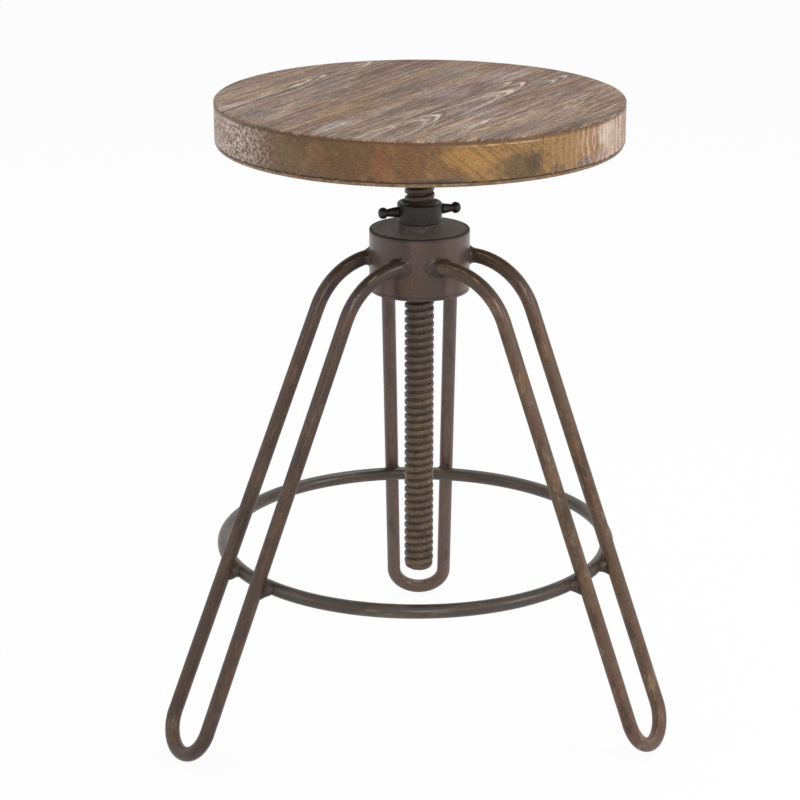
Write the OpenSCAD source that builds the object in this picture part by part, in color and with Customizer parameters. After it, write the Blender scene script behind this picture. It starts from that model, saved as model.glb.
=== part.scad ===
// Adjustable swivel stool: a round seat of glued planks on a coarse square
// screw, a drum hub that guides the screw, three hairpin legs of bent round
// rod and a ring footrest. A threaded collar with two thumb screws turns on a
// thrust washer over the hub: turned against the screw it lifts the seat,
// locked to the screw it swivels with the seat.
// Frame: +Z up, origin on the screw axis at floor level, one leg towards +Y.

/* [Seat] */
// Diameter of the round seat
seat_d = 350; // [330:1:400]
// Thickness of the glued planks
plank_t = 34; // [26:1:46]
// Size of the eased top edge of the planks
edge_ease = 1.4; // [0.4:0.2:4]
// Thickness of the backing disc under the planks
backing_t = 4; // [3:0.5:8]
// How far the backing disc's edge lies inside the planks' edge
backing_inset = 1; // [0.2:0.1:4]
// Radius of the rounded lower edge of the backing disc
backing_ease = 2.6; // [0.6:0.2:2.8]
// Direction of the planks, turned from the +X axis
grain_turn = 61; // [0:1:90]
// Width of the second plank
plank_w_2 = 71; // [60:1:84]
// Width of the third plank, which holds the seat's centre
plank_w_3 = 88; // [70:1:110]
// How far the third plank reaches past the seat's centre on one side
centre_offset = 14; // [6:1:24]
// Width of the narrow strip that fills up the last plank
edge_strip = 19; // [14:1:36]

/* [Seat flange] */
// Diameter of the steel flange under the seat
flange_d = 104; // [96:1:130]
// Thickness of the flange plate
flange_t = 4; // [3:0.5:6]
// Outer diameter of the socket that holds the screw
socket_d = 38; // [34:1:44]
// Height of the socket below the plate
socket_h = 9; // [6:0.5:14]
// Depth of the screw's plain top inside the flange
spigot_h = 8; // [5:0.5:9]
// Diameter of the screw's plain top
spigot_d = 20; // [14:0.5:21]
// Diameter of the circle of flange screws
flange_pcd = 80; // [70:1:84]
// Shank diameter of a flange screw
fixing_d = 4.5; // [3.5:0.1:6]
// Length of a flange screw below its head
fixing_len = 26; // [18:1:30]
// Head diameter of a flange screw
fixing_head_d = 9; // [7:0.5:12]
// Head height of a flange screw
fixing_head_h = 2.8; // [2:0.2:4]
// Diameter of the flat face on a flange screw's head
fixing_face_d = 6.6; // [5:0.2:7]

/* [Screw] */
// Outside diameter of the screw
screw_d = 26; // [24:0.5:28]
// Distance from one thread to the next
pitch = 6.8; // [5:0.1:9]
// Depth of the thread groove
thread_depth = 2.3; // [1.2:0.1:2.6]
// Share of the pitch taken by the thread's crest
crest_share = 0.56; // [0.4:0.02:0.66]
// Slope of a thread flank, measured along the screw
flank_run = 0.4; // [0.2:0.1:0.8]
// Height of the plain rounded tip at the lower end
tip_h = 5.5; // [5:0.5:12]
// How far the tip narrows
tip_taper = 4.4; // [1:0.2:4.6]
// Length of the screw below the flange socket
screw_len = 377; // [320:1:440]

/* [Hub] */
// Height of the hub's top above the floor
hub_top_z = 438; // [420:1:480]
// Outside diameter of the hub drum
hub_d = 87; // [80:1:96]
// Overall height of the hub with its plates
hub_h = 54; // [48:1:62]
// Wall thickness of the drum
hub_wall = 4; // [3:0.5:6]
// Thickness of the hub's top plate
top_plate_t = 3; // [2:0.5:5]
// Radius of the eased rim of the top plate
rim_ease = 1.2; // [0.4:0.2:1.6]
// Thickness of the hub's bottom plate
bottom_plate_t = 2.5; // [2:0.5:5]
// Outside diameter of the guide tube inside the hub
guide_d = 34; // [32:0.5:37]
// Diameter of the guide tube's flange on the hub
guide_flange_d = 36; // [35:0.5:46]
// Thickness of the guide tube's flange
guide_flange_t = 3; // [2:0.5:6]

/* [Collar] */
// Outside diameter of the threaded collar
collar_d = 38.6; // [37:0.2:46]
// Height of the collar
collar_h = 17.4; // [14:0.2:20]
// Bevel of the collar's outer edges
collar_bevel = 1; // [0.4:0.1:2]
// Width of the countersink around the screw at the collar's top
countersink = 2.6; // [1:0.1:3]
// Outside diameter of the thrust washer
washer_d = 36; // [34:0.5:42]
// Thickness of the thrust washer
washer_t = 2; // [1.5:0.1:4]

/* [Thumb screws] */
// Direction of the left thumb screw, turned from the +X axis
thumb_turn = 199; // [0:1:359]
// Height of the thumb screws above the collar's foot
thumb_rise = 9.8; // [7:0.1:11]
// Reach of a thumb screw beyond the collar
thumb_reach = 17.8; // [15:0.2:26]
// Shank diameter of a thumb screw
thumb_shank_d = 5; // [4:0.5:6]
// Neck diameter of a thumb screw
thumb_neck_d = 5.2; // [3:0.1:6]
// Head diameter of a thumb screw
thumb_head_d = 10.2; // [8:0.2:13]
// Thickness of a thumb screw's flared head
thumb_head_t = 4.6; // [4:0.2:8]
// Shoulder diameter of a thumb screw
shoulder_d = 9; // [6:0.2:11]
// Shoulder length of a thumb screw
shoulder_len = 8; // [5:0.5:9.5]

/* [Legs] */
// Direction of the rear leg, turned from the +X axis
leg_turn_rear = 90; // [85:1:95]
// Direction of the left leg, turned from the +X axis
leg_turn_left = 214; // [205:0.1:220]
// Direction of the right leg, turned from the +X axis
leg_turn_right = 330.4; // [325:0.1:335]
// Diameter of the bent rod of the legs
rod_d = 12.7; // [10:0.1:14]
// Distance between the rear leg's rods at the hub
hub_gap_rear = 57; // [44:0.2:60]
// Distance between the left leg's rods at the hub
hub_gap_left = 46.4; // [42:0.2:60]
// Distance between the right leg's rods at the hub
hub_gap_right = 51.4; // [42:0.2:60]
// Distance between the rear leg's rods at its foot
foot_gap_rear = 49.4; // [42:0.2:60]
// Distance between the left leg's rods at its foot
foot_gap_left = 56.2; // [42:0.2:60]
// Distance between the right leg's rods at its foot
foot_gap_right = 55.4; // [42:0.2:60]
// How much thinner the rod is where it is straight than in its bends
rod_draw = 0.05; // [0.02:0.01:0.2]
// Lean of the rear leg from upright
leg_lean_rear = 22; // [20:0.1:23]
// Lean of the left leg from upright
leg_lean_left = 23.1; // [20:0.1:23.4]
// Lean of the right leg from upright
leg_lean_right = 20.6; // [20:0.1:23]
// Radius of the bend below the hub
bend_r = 62; // [45:1:66]
// Depth of the rods' upper ends below the hub's top
leg_drop = 25; // [18:1:30]

/* [Footrest] */
// Diameter of the footrest ring's rod
ring_rod_d = 12.1; // [10:0.1:14]
// Radius of the footrest ring's centre line
ring_r = 171; // [160:0.5:185]
// How far the footrest ring is set off from the screw's axis, towards -X
ring_shift = 3; // [0:0.1:6]
// Height of the footrest ring above the floor
ring_z = 152; // [130:1:200]
// Radius of a weld bead between ring and leg
ring_weld = 7; // [6:0.2:9]
// How far a weld bead stands out around a rod at the hub
hub_weld = 2; // [1.5:0.1:4]
// How far a weld bead stands out from the hub
hub_weld_rise = 4.5; // [3:0.5:6]
// How much a weld bead narrows from the hub outwards
hub_weld_taper = 2.2; // [1.5:0.1:4]

/* [Fits] */
// Gap between the screw's crest and what it slides through
screw_clear = 0.3; // [0.2:0.05:0.6]
// Gap between faces that turn or slide on each other
run_clear = 0.3; // [0.2:0.05:0.6]
// Gap around a piece fixed in its hole
fit_clear = 0.05; // [0.02:0.01:0.2]
// Gap between two rods where they are welded
weld_clear = 0.05; // [0.02:0.01:0.3]

/* [Setting] */
// Gap between the collar's top and the flange socket as the stool stands
lift = 40; // [10:1:200]

/* [Hidden] */
round_fn = 96;
rod_fn = 64;
fine_fn = 192;
small_fn = 32;
cut = 1;
lap = 1;

wood_brown = "#8a6a4c";
wood_light = "#a8763f";
iron_brown = "#6d5c50";
iron_grey = "#5c5654";
iron_dark = "#46413f";

// radii
seat_r = seat_d / 2;
screw_r = screw_d / 2;
bore_r = screw_r + screw_clear;
root_r = screw_r - thread_depth;
hub_r = hub_d / 2;
rod_r = rod_d / 2;
ring_rod_r = ring_rod_d / 2;
straight_r = rod_r - rod_draw;
guide_r = guide_d / 2;
collar_r = collar_d / 2;

// glue lines, as offsets from the seat's centre across the planks
seam_b = -centre_offset;
seam_a = seam_b - plank_w_2;
seam_c = seam_b + plank_w_3;
seam_d = seat_r - edge_strip;

// heights, from the hub upwards
hub_bottom_z = hub_top_z - hub_h;
guide_top_z = hub_top_z + guide_flange_t;
washer_z = guide_top_z + run_clear;
collar_z = washer_z + washer_t + run_clear;
collar_top_z = collar_z + collar_h;
socket_z = collar_top_z + lift;
flange_z = socket_z + socket_h;
backing_z = flange_z + flange_t;
plank_z = backing_z + backing_t;
seat_z = plank_z + plank_t;

// the screw
screw_bottom_z = socket_z - screw_len;
thread_z = screw_bottom_z + tip_h;
threads = floor((screw_len - tip_h - pitch) / pitch);
crest_w = pitch * crest_share;

// the thumb screws
thumb_z = collar_z + thumb_rise;
thumb_hole_r = thumb_shank_d / 2 + run_clear;
thumb_tip = screw_r + screw_clear;

// one leg: its direction, its lean, and half the distance between its rods
// at the hub and at the foot
rear = [leg_turn_rear, leg_lean_rear, hub_gap_rear / 2, foot_gap_rear / 2];
left = [leg_turn_left, leg_lean_left, hub_gap_left / 2, foot_gap_left / 2];
right = [leg_turn_right, leg_lean_right, hub_gap_right / 2,
    foot_gap_right / 2];

// heights of a leg, and how far its rods spread for each millimetre down
leg_z = hub_top_z - leg_drop;
function bend_turn(leg) = 90 - leg[1];
function bend_end_z(leg) = leg_z - bend_r * (1 - cos(bend_turn(leg)));
function foot_z(leg) = rod_r + leg[3] * cos(leg[1]);
function spread(leg) = (leg[3] - leg[2]) / (bend_end_z(leg) - foot_z(leg));
function ring_gap(leg) = leg[3] - spread(leg) * (ring_z - foot_z(leg));

// where the ring's centre lies in a leg's plane and beside it
touch = ring_rod_r + straight_r + weld_clear;
function ring_u(leg) = -ring_shift * cos(leg[0]);
function ring_v(leg) = ring_shift * sin(leg[0]);

// direction from the ring's centre to one rod, and the rod's lean along it
function rod_side(leg, side) =
    asin((side * ring_gap(leg) - ring_v(leg)) / (ring_r + touch));
function rod_lean(leg, side) =
    atan(tan(leg[1]) * cos(rod_side(leg, side))
        + side * spread(leg) * sin(rod_side(leg, side)));

// distance from the axis at which a rod just touches the ring's outer side
function touch_u(leg, side) =
    ring_u(leg) + sqrt(pow(ring_r + touch / cos(rod_lean(leg, side)), 2)
        - pow(side * ring_gap(leg) - ring_v(leg), 2));
function ring_reach(leg) = max(touch_u(leg, -1), touch_u(leg, 1));

// the upper bend and the foot, in the upright plane that the leg leans in
function bend_end_u(leg) =
    ring_reach(leg) - tan(leg[1]) * (bend_end_z(leg) - ring_z);
function bend_u(leg) = bend_end_u(leg) - bend_r * sin(bend_turn(leg));
function foot_u(leg) =
    ring_reach(leg) + tan(leg[1]) * (ring_z - foot_z(leg));
function hub_touch_u(leg) = sqrt(pow(hub_r, 2) - pow(leg[2], 2));
function hub_side(leg) = asin(leg[2] / hub_r);

// ---- the seat ----

// Half outline of a flat disc with its upper rim rounded off.
module eased_disc(r, t, ease) {
    intersection() {
        square([r, t]);
        union() {
            square([r - ease, t]);
            square([r, t - ease]);
            translate([r - ease, t - ease])
                circle(r = ease, $fn = small_fn);
        }
    }
}

// Outline of the round panel: upright side, top edge broken by two bevels.
module panel_profile() {
    small = edge_ease * 0.3;
    polygon([[0, 0], [seat_r, 0], [seat_r, plank_t - edge_ease],
        [seat_r - small, plank_t - small],
        [seat_r - edge_ease, plank_t], [0, plank_t]]);
}

// The four places of the flange screws, square to the planks.
module at_fixings() {
    for (i = [0:3])
        rotate([0, 0, grain_turn + 45 + 90 * i])
            translate([flange_pcd / 2, 0, 0])
                children();
}

// Holes for the flange screws, from the flange up into the planks.
module fixing_holes() {
    translate([0, 0, flange_z - cut])
        at_fixings()
            cylinder(r = fixing_d / 2 + fit_clear,
                h = fixing_len + fit_clear + cut, $fn = small_fn);
}

// One plank: the slice of the round panel between two glue lines.
module plank(from, to) {
    difference() {
        intersection() {
            translate([0, 0, plank_z])
                rotate_extrude($fn = round_fn)
                    panel_profile();
            rotate([0, 0, grain_turn - 90])
                translate([from, -seat_d, plank_z - cut])
                    cube([to - from, 2 * seat_d, plank_t + 2 * cut]);
        }
        fixing_holes();
    }
}

module seat_plank_1() {
    color(wood_brown) plank(-seat_d, seam_a);
}

module seat_plank_2() {
    color(wood_brown) plank(seam_a, seam_b);
}

module seat_plank_3() {
    color(wood_brown) plank(seam_b, seam_c);
}

module seat_plank_4() {
    color(wood_brown) plank(seam_c, seam_d);
}

module seat_plank_5() {
    color(wood_brown) plank(seam_d, seat_d);
}

// Thin backing disc glued under the planks, with a rounded lower edge.
module seat_backing() {
    backing_r = seat_r - backing_inset;
    color(wood_light)
        difference() {
            translate([0, 0, backing_z])
                rotate_extrude($fn = round_fn)
                    translate([0, backing_t])
                        mirror([0, 1])
                            eased_disc(backing_r, backing_t, backing_ease);
            fixing_holes();
        }
}

// ---- flange and screw ----

// Steel flange with a socket that takes the screw's plain top.
module seat_flange() {
    color(iron_dark)
        difference() {
            union() {
                translate([0, 0, flange_z])
                    cylinder(d = flange_d, h = flange_t, $fn = round_fn);
                translate([0, 0, socket_z])
                    cylinder(d = socket_d, h = socket_h, $fn = round_fn);
            }
            translate([0, 0, socket_z - cut])
                cylinder(r = spigot_d / 2 + fit_clear,
                    h = spigot_h + fit_clear + cut, $fn = round_fn);
            fixing_holes();
        }
}

// Four pan head screws that hold the flange to the seat.
module flange_screws() {
    color(iron_dark)
        at_fixings() {
            translate([0, 0, flange_z - fixing_head_h])
                cylinder(d1 = fixing_face_d, d2 = fixing_head_d,
                    h = fixing_head_h, $fn = small_fn);
            translate([0, 0, flange_z])
                cylinder(d = fixing_d, h = fixing_len, $fn = small_fn);
        }
}

// Outline of the screw: tip, evenly spaced square threads, plain top.
function thread_points(i) =
    let (z = thread_z + i * pitch)
    [[root_r, z], [screw_r, z + flank_run],
        [screw_r, z + crest_w - flank_run], [root_r, z + crest_w]];

module screw_spindle() {
    lower = [[0, screw_bottom_z], [root_r - tip_taper, screw_bottom_z],
        [root_r, screw_bottom_z + tip_taper]];
    thread = [for (i = [0:threads - 1]) each thread_points(i)];
    upper = [[root_r, socket_z], [spigot_d / 2, socket_z],
        [spigot_d / 2, socket_z + spigot_h], [0, socket_z + spigot_h]];
    color(iron_brown)
        rotate_extrude($fn = round_fn)
            polygon(concat(lower, thread, upper));
}

// ---- collar, washer and thumb screws ----

// Threaded collar, countersunk on top, with two cross holes.
module lock_collar() {
    color(iron_dark)
        difference() {
            translate([0, 0, collar_z])
                rotate_extrude($fn = round_fn)
                    polygon([[bore_r, 0], [collar_r - collar_bevel, 0],
                        [collar_r, collar_bevel],
                        [collar_r, collar_h - collar_bevel],
                        [collar_r - collar_bevel, collar_h],
                        [bore_r + countersink, collar_h],
                        [bore_r, collar_h - countersink]]);
            for (side = [0, 180])
                along_thumb(thumb_turn + side)
                    cylinder(r = thumb_hole_r, h = collar_d,
                        $fn = small_fn);
        }
}

// Flat washer that the collar turns on.
module thrust_washer() {
    color(iron_grey)
        translate([0, 0, washer_z])
            difference() {
                cylinder(d = washer_d, h = washer_t, $fn = round_fn);
                translate([0, 0, -cut])
                    cylinder(r = bore_r, h = washer_t + 2 * cut,
                        $fn = round_fn);
            }
}

// Lays a shape drawn along +Z outwards from the axis at the thumb screws.
module along_thumb(turn) {
    translate([0, 0, thumb_z])
        rotate([0, 90, turn])
            children();
}

// Thumb screw: plain tip, tapered shoulder, slim neck and flared head.
module thumbscrew(turn) {
    start = collar_r + run_clear;
    end = collar_r + thumb_reach;
    head = end - thumb_head_t;
    neck_r = thumb_neck_d / 2;
    head_r = thumb_head_d / 2;
    flare = [for (i = [0:6])
        let (s = i / 6)
        [neck_r + (head_r - neck_r) * (1 - cos(90 * s)),
            head + (thumb_head_t / 2) * s]];
    dome = [for (i = [1:5])
        let (a = 90 * i / 5)
        [head_r * cos(a), end - (thumb_head_t / 2) * (1 - sin(a))]];
    along_thumb(turn)
        rotate_extrude($fn = small_fn)
            polygon(concat(
                [[0, thumb_tip], [thumb_shank_d / 2 - run_clear, thumb_tip],
                    [thumb_shank_d / 2, thumb_tip + run_clear],
                    [thumb_shank_d / 2, start],
                    [shoulder_d / 2, start],
                    [shoulder_d / 2, start + shoulder_len / 4],
                    [neck_r, start + shoulder_len]],
                flare, dome));
}

module thumbscrew_left() {
    color(iron_dark)
        thumbscrew(thumb_turn);
}

module thumbscrew_right() {
    color(iron_dark)
        thumbscrew(thumb_turn + 180);
}

// ---- the hub ----

// Tube that guides the screw through the hub, with a flange on top.
module guide_bush() {
    color(iron_grey)
        difference() {
            union() {
                translate([0, 0, hub_bottom_z])
                    cylinder(r = guide_r, h = hub_h, $fn = round_fn);
                translate([0, 0, hub_top_z])
                    cylinder(d = guide_flange_d, h = guide_flange_t,
                        $fn = round_fn);
            }
            translate([0, 0, hub_bottom_z - cut])
                cylinder(r = bore_r, h = hub_h + guide_flange_t + 2 * cut,
                    $fn = round_fn);
        }
}

// Round plate with an eased outer rim and the guide tube's hole.
module hub_top_plate() {
    color(iron_grey)
        translate([0, 0, hub_top_z - top_plate_t])
            rotate_extrude($fn = round_fn)
                difference() {
                    eased_disc(hub_r, top_plate_t, rim_ease);
                    translate([0, -cut])
                        square([guide_r + fit_clear, top_plate_t + 2 * cut]);
                }
}

// Drum wall between the two plates.
module hub_shell() {
    wall_h = hub_h - top_plate_t - bottom_plate_t;
    color(iron_brown)
        translate([0, 0, hub_bottom_z + bottom_plate_t])
            difference() {
                cylinder(r = hub_r, h = wall_h, $fn = round_fn);
                translate([0, 0, -cut])
                    cylinder(r = hub_r - hub_wall, h = wall_h + 2 * cut,
                        $fn = round_fn);
            }
}

module hub_bottom_plate() {
    color(iron_grey)
        translate([0, 0, hub_bottom_z])
            difference() {
                cylinder(r = hub_r, h = bottom_plate_t, $fn = round_fn);
                translate([0, 0, -cut])
                    cylinder(r = guide_r + fit_clear,
                        h = bottom_plate_t + 2 * cut, $fn = round_fn);
            }
}

// ---- legs and footrest ----

// Straight leaning part of one rod, from the bend down to the foot. It
// laps a little into the bends at both ends.
module shank(leg, side, sides = rod_fn) {
    from = [bend_end_u(leg), side * leg[2], bend_end_z(leg)];
    run = [foot_u(leg), side * leg[3], foot_z(leg)] - from;
    translate(from)
        rotate([0, acos(run[2] / norm(run)), atan2(run[1], run[0])])
            translate([0, 0, -lap])
                cylinder(r = straight_r, h = norm(run) + 2 * lap,
                    $fn = sides);
}

// Upper part of one rod: level out of the hub, then bent down.
module upper_rod(leg, side, sides = rod_fn) {
    translate([0, side * leg[2], leg_z])
        rotate([0, 90, 0])
            cylinder(r = straight_r, h = bend_u(leg) + lap, $fn = sides);
    translate([bend_u(leg), side * leg[2], leg_z - bend_r])
        rotate([90, 0, 0])
            rotate([0, 0, leg[1]])
                rotate_extrude(angle = bend_turn(leg), $fn = sides)
                    translate([bend_r, 0])
                        circle(r = rod_r, $fn = sides);
}

// Hairpin leg: two rods leave the hub side by side, bend down together,
// lean outwards and join in a round bend that stands on the floor. As the
// legs are bent by hand, their rods aren't quite parallel.
module hairpin(leg) {
    rotate([0, 0, leg[0]])
        difference() {
            union() {
                for (side = [-1, 1]) {
                    upper_rod(leg, side);
                    shank(leg, side);
                }
                translate([foot_u(leg), 0, foot_z(leg)])
                    rotate([0, -90 - leg[1], 0])
                        rotate([0, 0, 90])
                            rotate_extrude(angle = 180, $fn = rod_fn)
                                translate([leg[3], 0])
                                    circle(r = rod_r, $fn = rod_fn);
            }
            translate([0, 0, hub_bottom_z])
                cylinder(r = hub_r, h = hub_h, $fn = round_fn);
        }
}

module leg_rear() {
    color(iron_brown) hairpin(rear);
}

module leg_left() {
    color(iron_brown) hairpin(left);
}

module leg_right() {
    color(iron_brown) hairpin(right);
}

// The footrest ring's rod, bent round its centre line.
module ring_rod(sides_round, sides) {
    translate([-ring_shift, 0, ring_z])
        rotate_extrude($fn = sides_round)
            translate([ring_r, 0])
                circle(r = ring_rod_r, $fn = sides);
}

// Ring of slightly thinner rod, welded to the inner side of all six rods.
module footrest_ring() {
    color(iron_brown) ring_rod(round_fn, rod_fn);
}

// Tapered bead where each rod meets the drum, square to the drum's wall and
// cut to both.
module hub_weld_bead(leg, side) {
    bead_r = rod_r / cos(hub_side(leg)) + hub_weld;
    rotate([0, 0, leg[0]])
        difference() {
            translate([hub_touch_u(leg), side * leg[2], leg_z])
                rotate([0, 90, side * hub_side(leg)])
                    translate([0, 0, -hub_weld_rise])
                        cylinder(r1 = bead_r + hub_weld_taper,
                            r2 = bead_r - hub_weld_taper,
                            h = 2 * hub_weld_rise, $fn = fine_fn);
            translate([0, 0, hub_bottom_z])
                cylinder(r = hub_r, h = hub_h, $fn = fine_fn);
            upper_rod(leg, side, fine_fn);
        }
}

module hub_welds() {
    color(iron_grey)
        for (leg = [rear, left, right])
            for (side = [-1, 1])
                hub_weld_bead(leg, side);
}

// Bead in the crossing of ring and rod, cut to both.
module ring_weld_bead(leg, side) {
    lean = rod_lean(leg, side);
    difference() {
        translate([-ring_shift, 0, ring_z])
            rotate([0, 0, leg[0] + rod_side(leg, side)])
                translate([ring_r + ring_rod_r * cos(lean), 0,
                    ring_rod_r * sin(lean)])
                    sphere(r = ring_weld, $fn = fine_fn);
        ring_rod(fine_fn, fine_fn);
        rotate([0, 0, leg[0]])
            shank(leg, side, fine_fn);
    }
}

module ring_welds() {
    color(iron_grey)
        for (leg = [rear, left, right])
            for (side = [-1, 1])
                ring_weld_bead(leg, side);
}

seat_plank_1();
seat_plank_2();
seat_plank_3();
seat_plank_4();
seat_plank_5();
seat_backing();
seat_flange();
flange_screws();
screw_spindle();
lock_collar();
thumbscrew_left();
thumbscrew_right();
thrust_washer();
guide_bush();
hub_top_plate();
hub_shell();
hub_bottom_plate();
leg_rear();
leg_left();
leg_right();
footrest_ring();
hub_welds();
ring_welds();
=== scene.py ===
"""Looks of an adjustable swivel stool.

A round seat of glued, brushed planks stands on a coarse square screw. The
screw runs through a drum hub on three hairpin legs with a ring footrest. The
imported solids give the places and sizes. This file adds the finishes, the
planks' worn rims, the screw's true helix, the turned thumb screws and the
weld beads.
"""

import logging
import math
from dataclasses import dataclass
from enum import Enum

import bmesh
import bpy
import numpy as np
from mathutils import Euler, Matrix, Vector, noise


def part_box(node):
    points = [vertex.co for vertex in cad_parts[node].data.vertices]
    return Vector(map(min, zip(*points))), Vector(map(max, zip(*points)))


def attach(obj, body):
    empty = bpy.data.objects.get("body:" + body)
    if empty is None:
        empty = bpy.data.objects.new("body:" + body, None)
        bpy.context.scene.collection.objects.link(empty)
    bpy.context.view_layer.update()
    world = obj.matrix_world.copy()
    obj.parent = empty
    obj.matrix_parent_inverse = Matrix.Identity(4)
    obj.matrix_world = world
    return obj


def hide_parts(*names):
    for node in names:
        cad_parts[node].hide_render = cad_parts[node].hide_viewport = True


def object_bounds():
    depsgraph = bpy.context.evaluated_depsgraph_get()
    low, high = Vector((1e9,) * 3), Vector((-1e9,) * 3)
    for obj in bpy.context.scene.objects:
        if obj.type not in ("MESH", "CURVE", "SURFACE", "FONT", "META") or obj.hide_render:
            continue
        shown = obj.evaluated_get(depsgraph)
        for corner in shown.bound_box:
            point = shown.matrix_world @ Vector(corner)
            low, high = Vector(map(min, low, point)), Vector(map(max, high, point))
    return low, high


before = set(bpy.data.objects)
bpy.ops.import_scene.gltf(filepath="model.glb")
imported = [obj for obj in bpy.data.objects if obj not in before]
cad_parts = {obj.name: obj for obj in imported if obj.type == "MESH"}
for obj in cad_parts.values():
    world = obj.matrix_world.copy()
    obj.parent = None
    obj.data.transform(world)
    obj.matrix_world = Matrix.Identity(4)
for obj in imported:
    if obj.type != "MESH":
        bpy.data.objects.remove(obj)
cad_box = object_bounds()

log = logging.getLogger("stool")

Socket = bpy.types.NodeSocket
Value = float | Socket
Colour = tuple[float, float, float]
MM = 0.001


def shade(red: int, green: int, blue: int) -> Colour:
    """A colour written as it looks, turned into the shader's linear one.

    Args:
        red: Red part, 0 to 255.
        green: Green part, 0 to 255.
        blue: Blue part, 0 to 255.

    Returns:
        The three linear parts.
    """

    def linear(part: int) -> float:
        """One part, from display scale to linear."""
        v = part / 255.0
        return v / 12.92 if v <= 0.04045 else ((v + 0.055) / 1.055) ** 2.4

    return linear(red), linear(green), linear(blue)


def farthest(node: str, turn: float) -> float:
    """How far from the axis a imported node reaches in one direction.

    Args:
        node: The node's name.
        turn: The direction, in degrees from +X.

    Returns:
        The reach, in millimetres.
    """
    way = math.radians(turn)
    out = Vector((math.cos(way), math.sin(way), 0.0))
    return max(v.co.dot(out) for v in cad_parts[node].data.vertices) / MM


class Recipe:
    """One material's node tree, with a short call for each node it takes.

    Lengths that the calls take are in millimetres of the real stool.
    """

    def __init__(self, name: str) -> None:
        """Starts an empty tree.

        Args:
            name: The material's name.
        """
        self.material = bpy.data.materials.new(name)
        self.material.use_nodes = True
        self.tree = self.material.node_tree
        self.tree.nodes.clear()
        coords = self.tree.nodes.new("ShaderNodeTexCoord")
        self.place = self.scaled(coords.outputs["Object"], 1.0 / MM)
        self.x, self.y, self.z = self.split(self.place)

    def _plug(self, socket: Socket, value: Value | Colour) -> None:
        """Links a socket to another, or sets its own value.

        Args:
            socket: The input that is filled.
            value: A socket, a number or a colour.
        """
        if isinstance(value, bpy.types.NodeSocket):
            self.tree.links.new(value, socket)
        elif isinstance(value, tuple) and len(value) == 3:
            want = len(socket.default_value)
            socket.default_value = value + (1.0,) * (want - 3)
        else:
            socket.default_value = value

    def math(self, do: str, *values: Value, clamp: bool = False) -> Socket:
        """A Math node.

        Args:
            do: The node's operation.
            *values: Its inputs.
            clamp: Keeps the result between 0 and 1.

        Returns:
            The result.
        """
        node = self.tree.nodes.new("ShaderNodeMath")
        node.operation = do
        node.use_clamp = clamp
        for i, value in enumerate(values):
            self._plug(node.inputs[i], value)
        return node.outputs[0]

    def _fold(self, do: str, values: tuple[Value, ...]) -> Socket:
        """Joins values one after the other.

        Args:
            do: The Math node's operation.
            values: The values.

        Returns:
            The result.
        """
        total = values[0]
        for value in values[1:]:
            total = self.math(do, total, value)
        return total

    def add(self, *values: Value) -> Socket:
        """The sum of the values."""
        return self._fold("ADD", values)

    def times(self, *values: Value) -> Socket:
        """The product of the values."""
        return self._fold("MULTIPLY", values)

    def most(self, *values: Value) -> Socket:
        """The largest of the values."""
        return self._fold("MAXIMUM", values)

    def length(self, a: Socket, b: Socket) -> Socket:
        """The length of a line that goes a one way and b square to it."""
        return self.math("SQRT", self.add(self.times(a, a), self.times(b, b)))

    def swing(self, value: Socket, width: float) -> Socket:
        """Noise from 0 to 1, moved to swing round zero over a width."""
        return self.times(self.math("SUBTRACT", value, 0.5), width)

    def scaled(self, vector: Socket, factor: float) -> Socket:
        """A vector times a number.

        Args:
            vector: The vector.
            factor: The number.

        Returns:
            The longer or shorter vector.
        """
        node = self.tree.nodes.new("ShaderNodeVectorMath")
        node.operation = "SCALE"
        self._plug(node.inputs[0], vector)
        node.inputs["Scale"].default_value = factor
        return node.outputs[0]

    def split(self, vector: Socket) -> tuple[Socket, Socket, Socket]:
        """Takes a vector apart.

        Args:
            vector: The vector.

        Returns:
            Its three parts.
        """
        node = self.tree.nodes.new("ShaderNodeSeparateXYZ")
        self._plug(node.inputs[0], vector)
        return node.outputs[0], node.outputs[1], node.outputs[2]

    def point(self, x: Value, y: Value, z: Value) -> Socket:
        """Puts a vector together.

        Args:
            x: Its first part.
            y: Its second part.
            z: Its third part.

        Returns:
            The vector.
        """
        node = self.tree.nodes.new("ShaderNodeCombineXYZ")
        for socket, value in zip(node.inputs, (x, y, z)):
            self._plug(socket, value)
        return node.outputs[0]

    def planks(self, turn: float) -> tuple[Socket, Socket]:
        """Places on boards.

        Args:
            turn: How far the boards lie turned from +X, in degrees.

        Returns:
            The places across and along them.
        """
        side, length = math.sin(math.radians(turn)), math.cos(math.radians(turn))
        across = self.add(self.times(self.x, side), self.times(self.y, -length))
        along = self.add(self.times(self.x, length), self.times(self.y, side))
        return across, along

    def noise(
        self, at: Socket, size: float, detail: float = 2.0, rough: float = 0.5
    ) -> Socket:
        """Soft noise between 0 and 1.

        Args:
            at: Where it is read, in millimetres.
            size: Width of one lump, in millimetres.
            detail: How many finer layers lie on it.
            rough: Strength of the finer layers.

        Returns:
            The noise value.
        """
        node = self.tree.nodes.new("ShaderNodeTexNoise")
        self._plug(node.inputs["Vector"], at)
        node.inputs["Scale"].default_value = 1.0 / size
        node.inputs["Detail"].default_value = detail
        node.inputs["Roughness"].default_value = rough
        return node.outputs["Fac"]

    def cells(self, at: Socket, size: float) -> Socket:
        """Distance to the nearest of many scattered points.

        Args:
            at: Where it is read, in millimetres.
            size: About how far the points lie apart.

        Returns:
            The distance, as a share of the size.
        """
        node = self.tree.nodes.new("ShaderNodeTexVoronoi")
        self._plug(node.inputs["Vector"], at)
        node.inputs["Scale"].default_value = 1.0 / size
        return node.outputs["Distance"]

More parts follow.
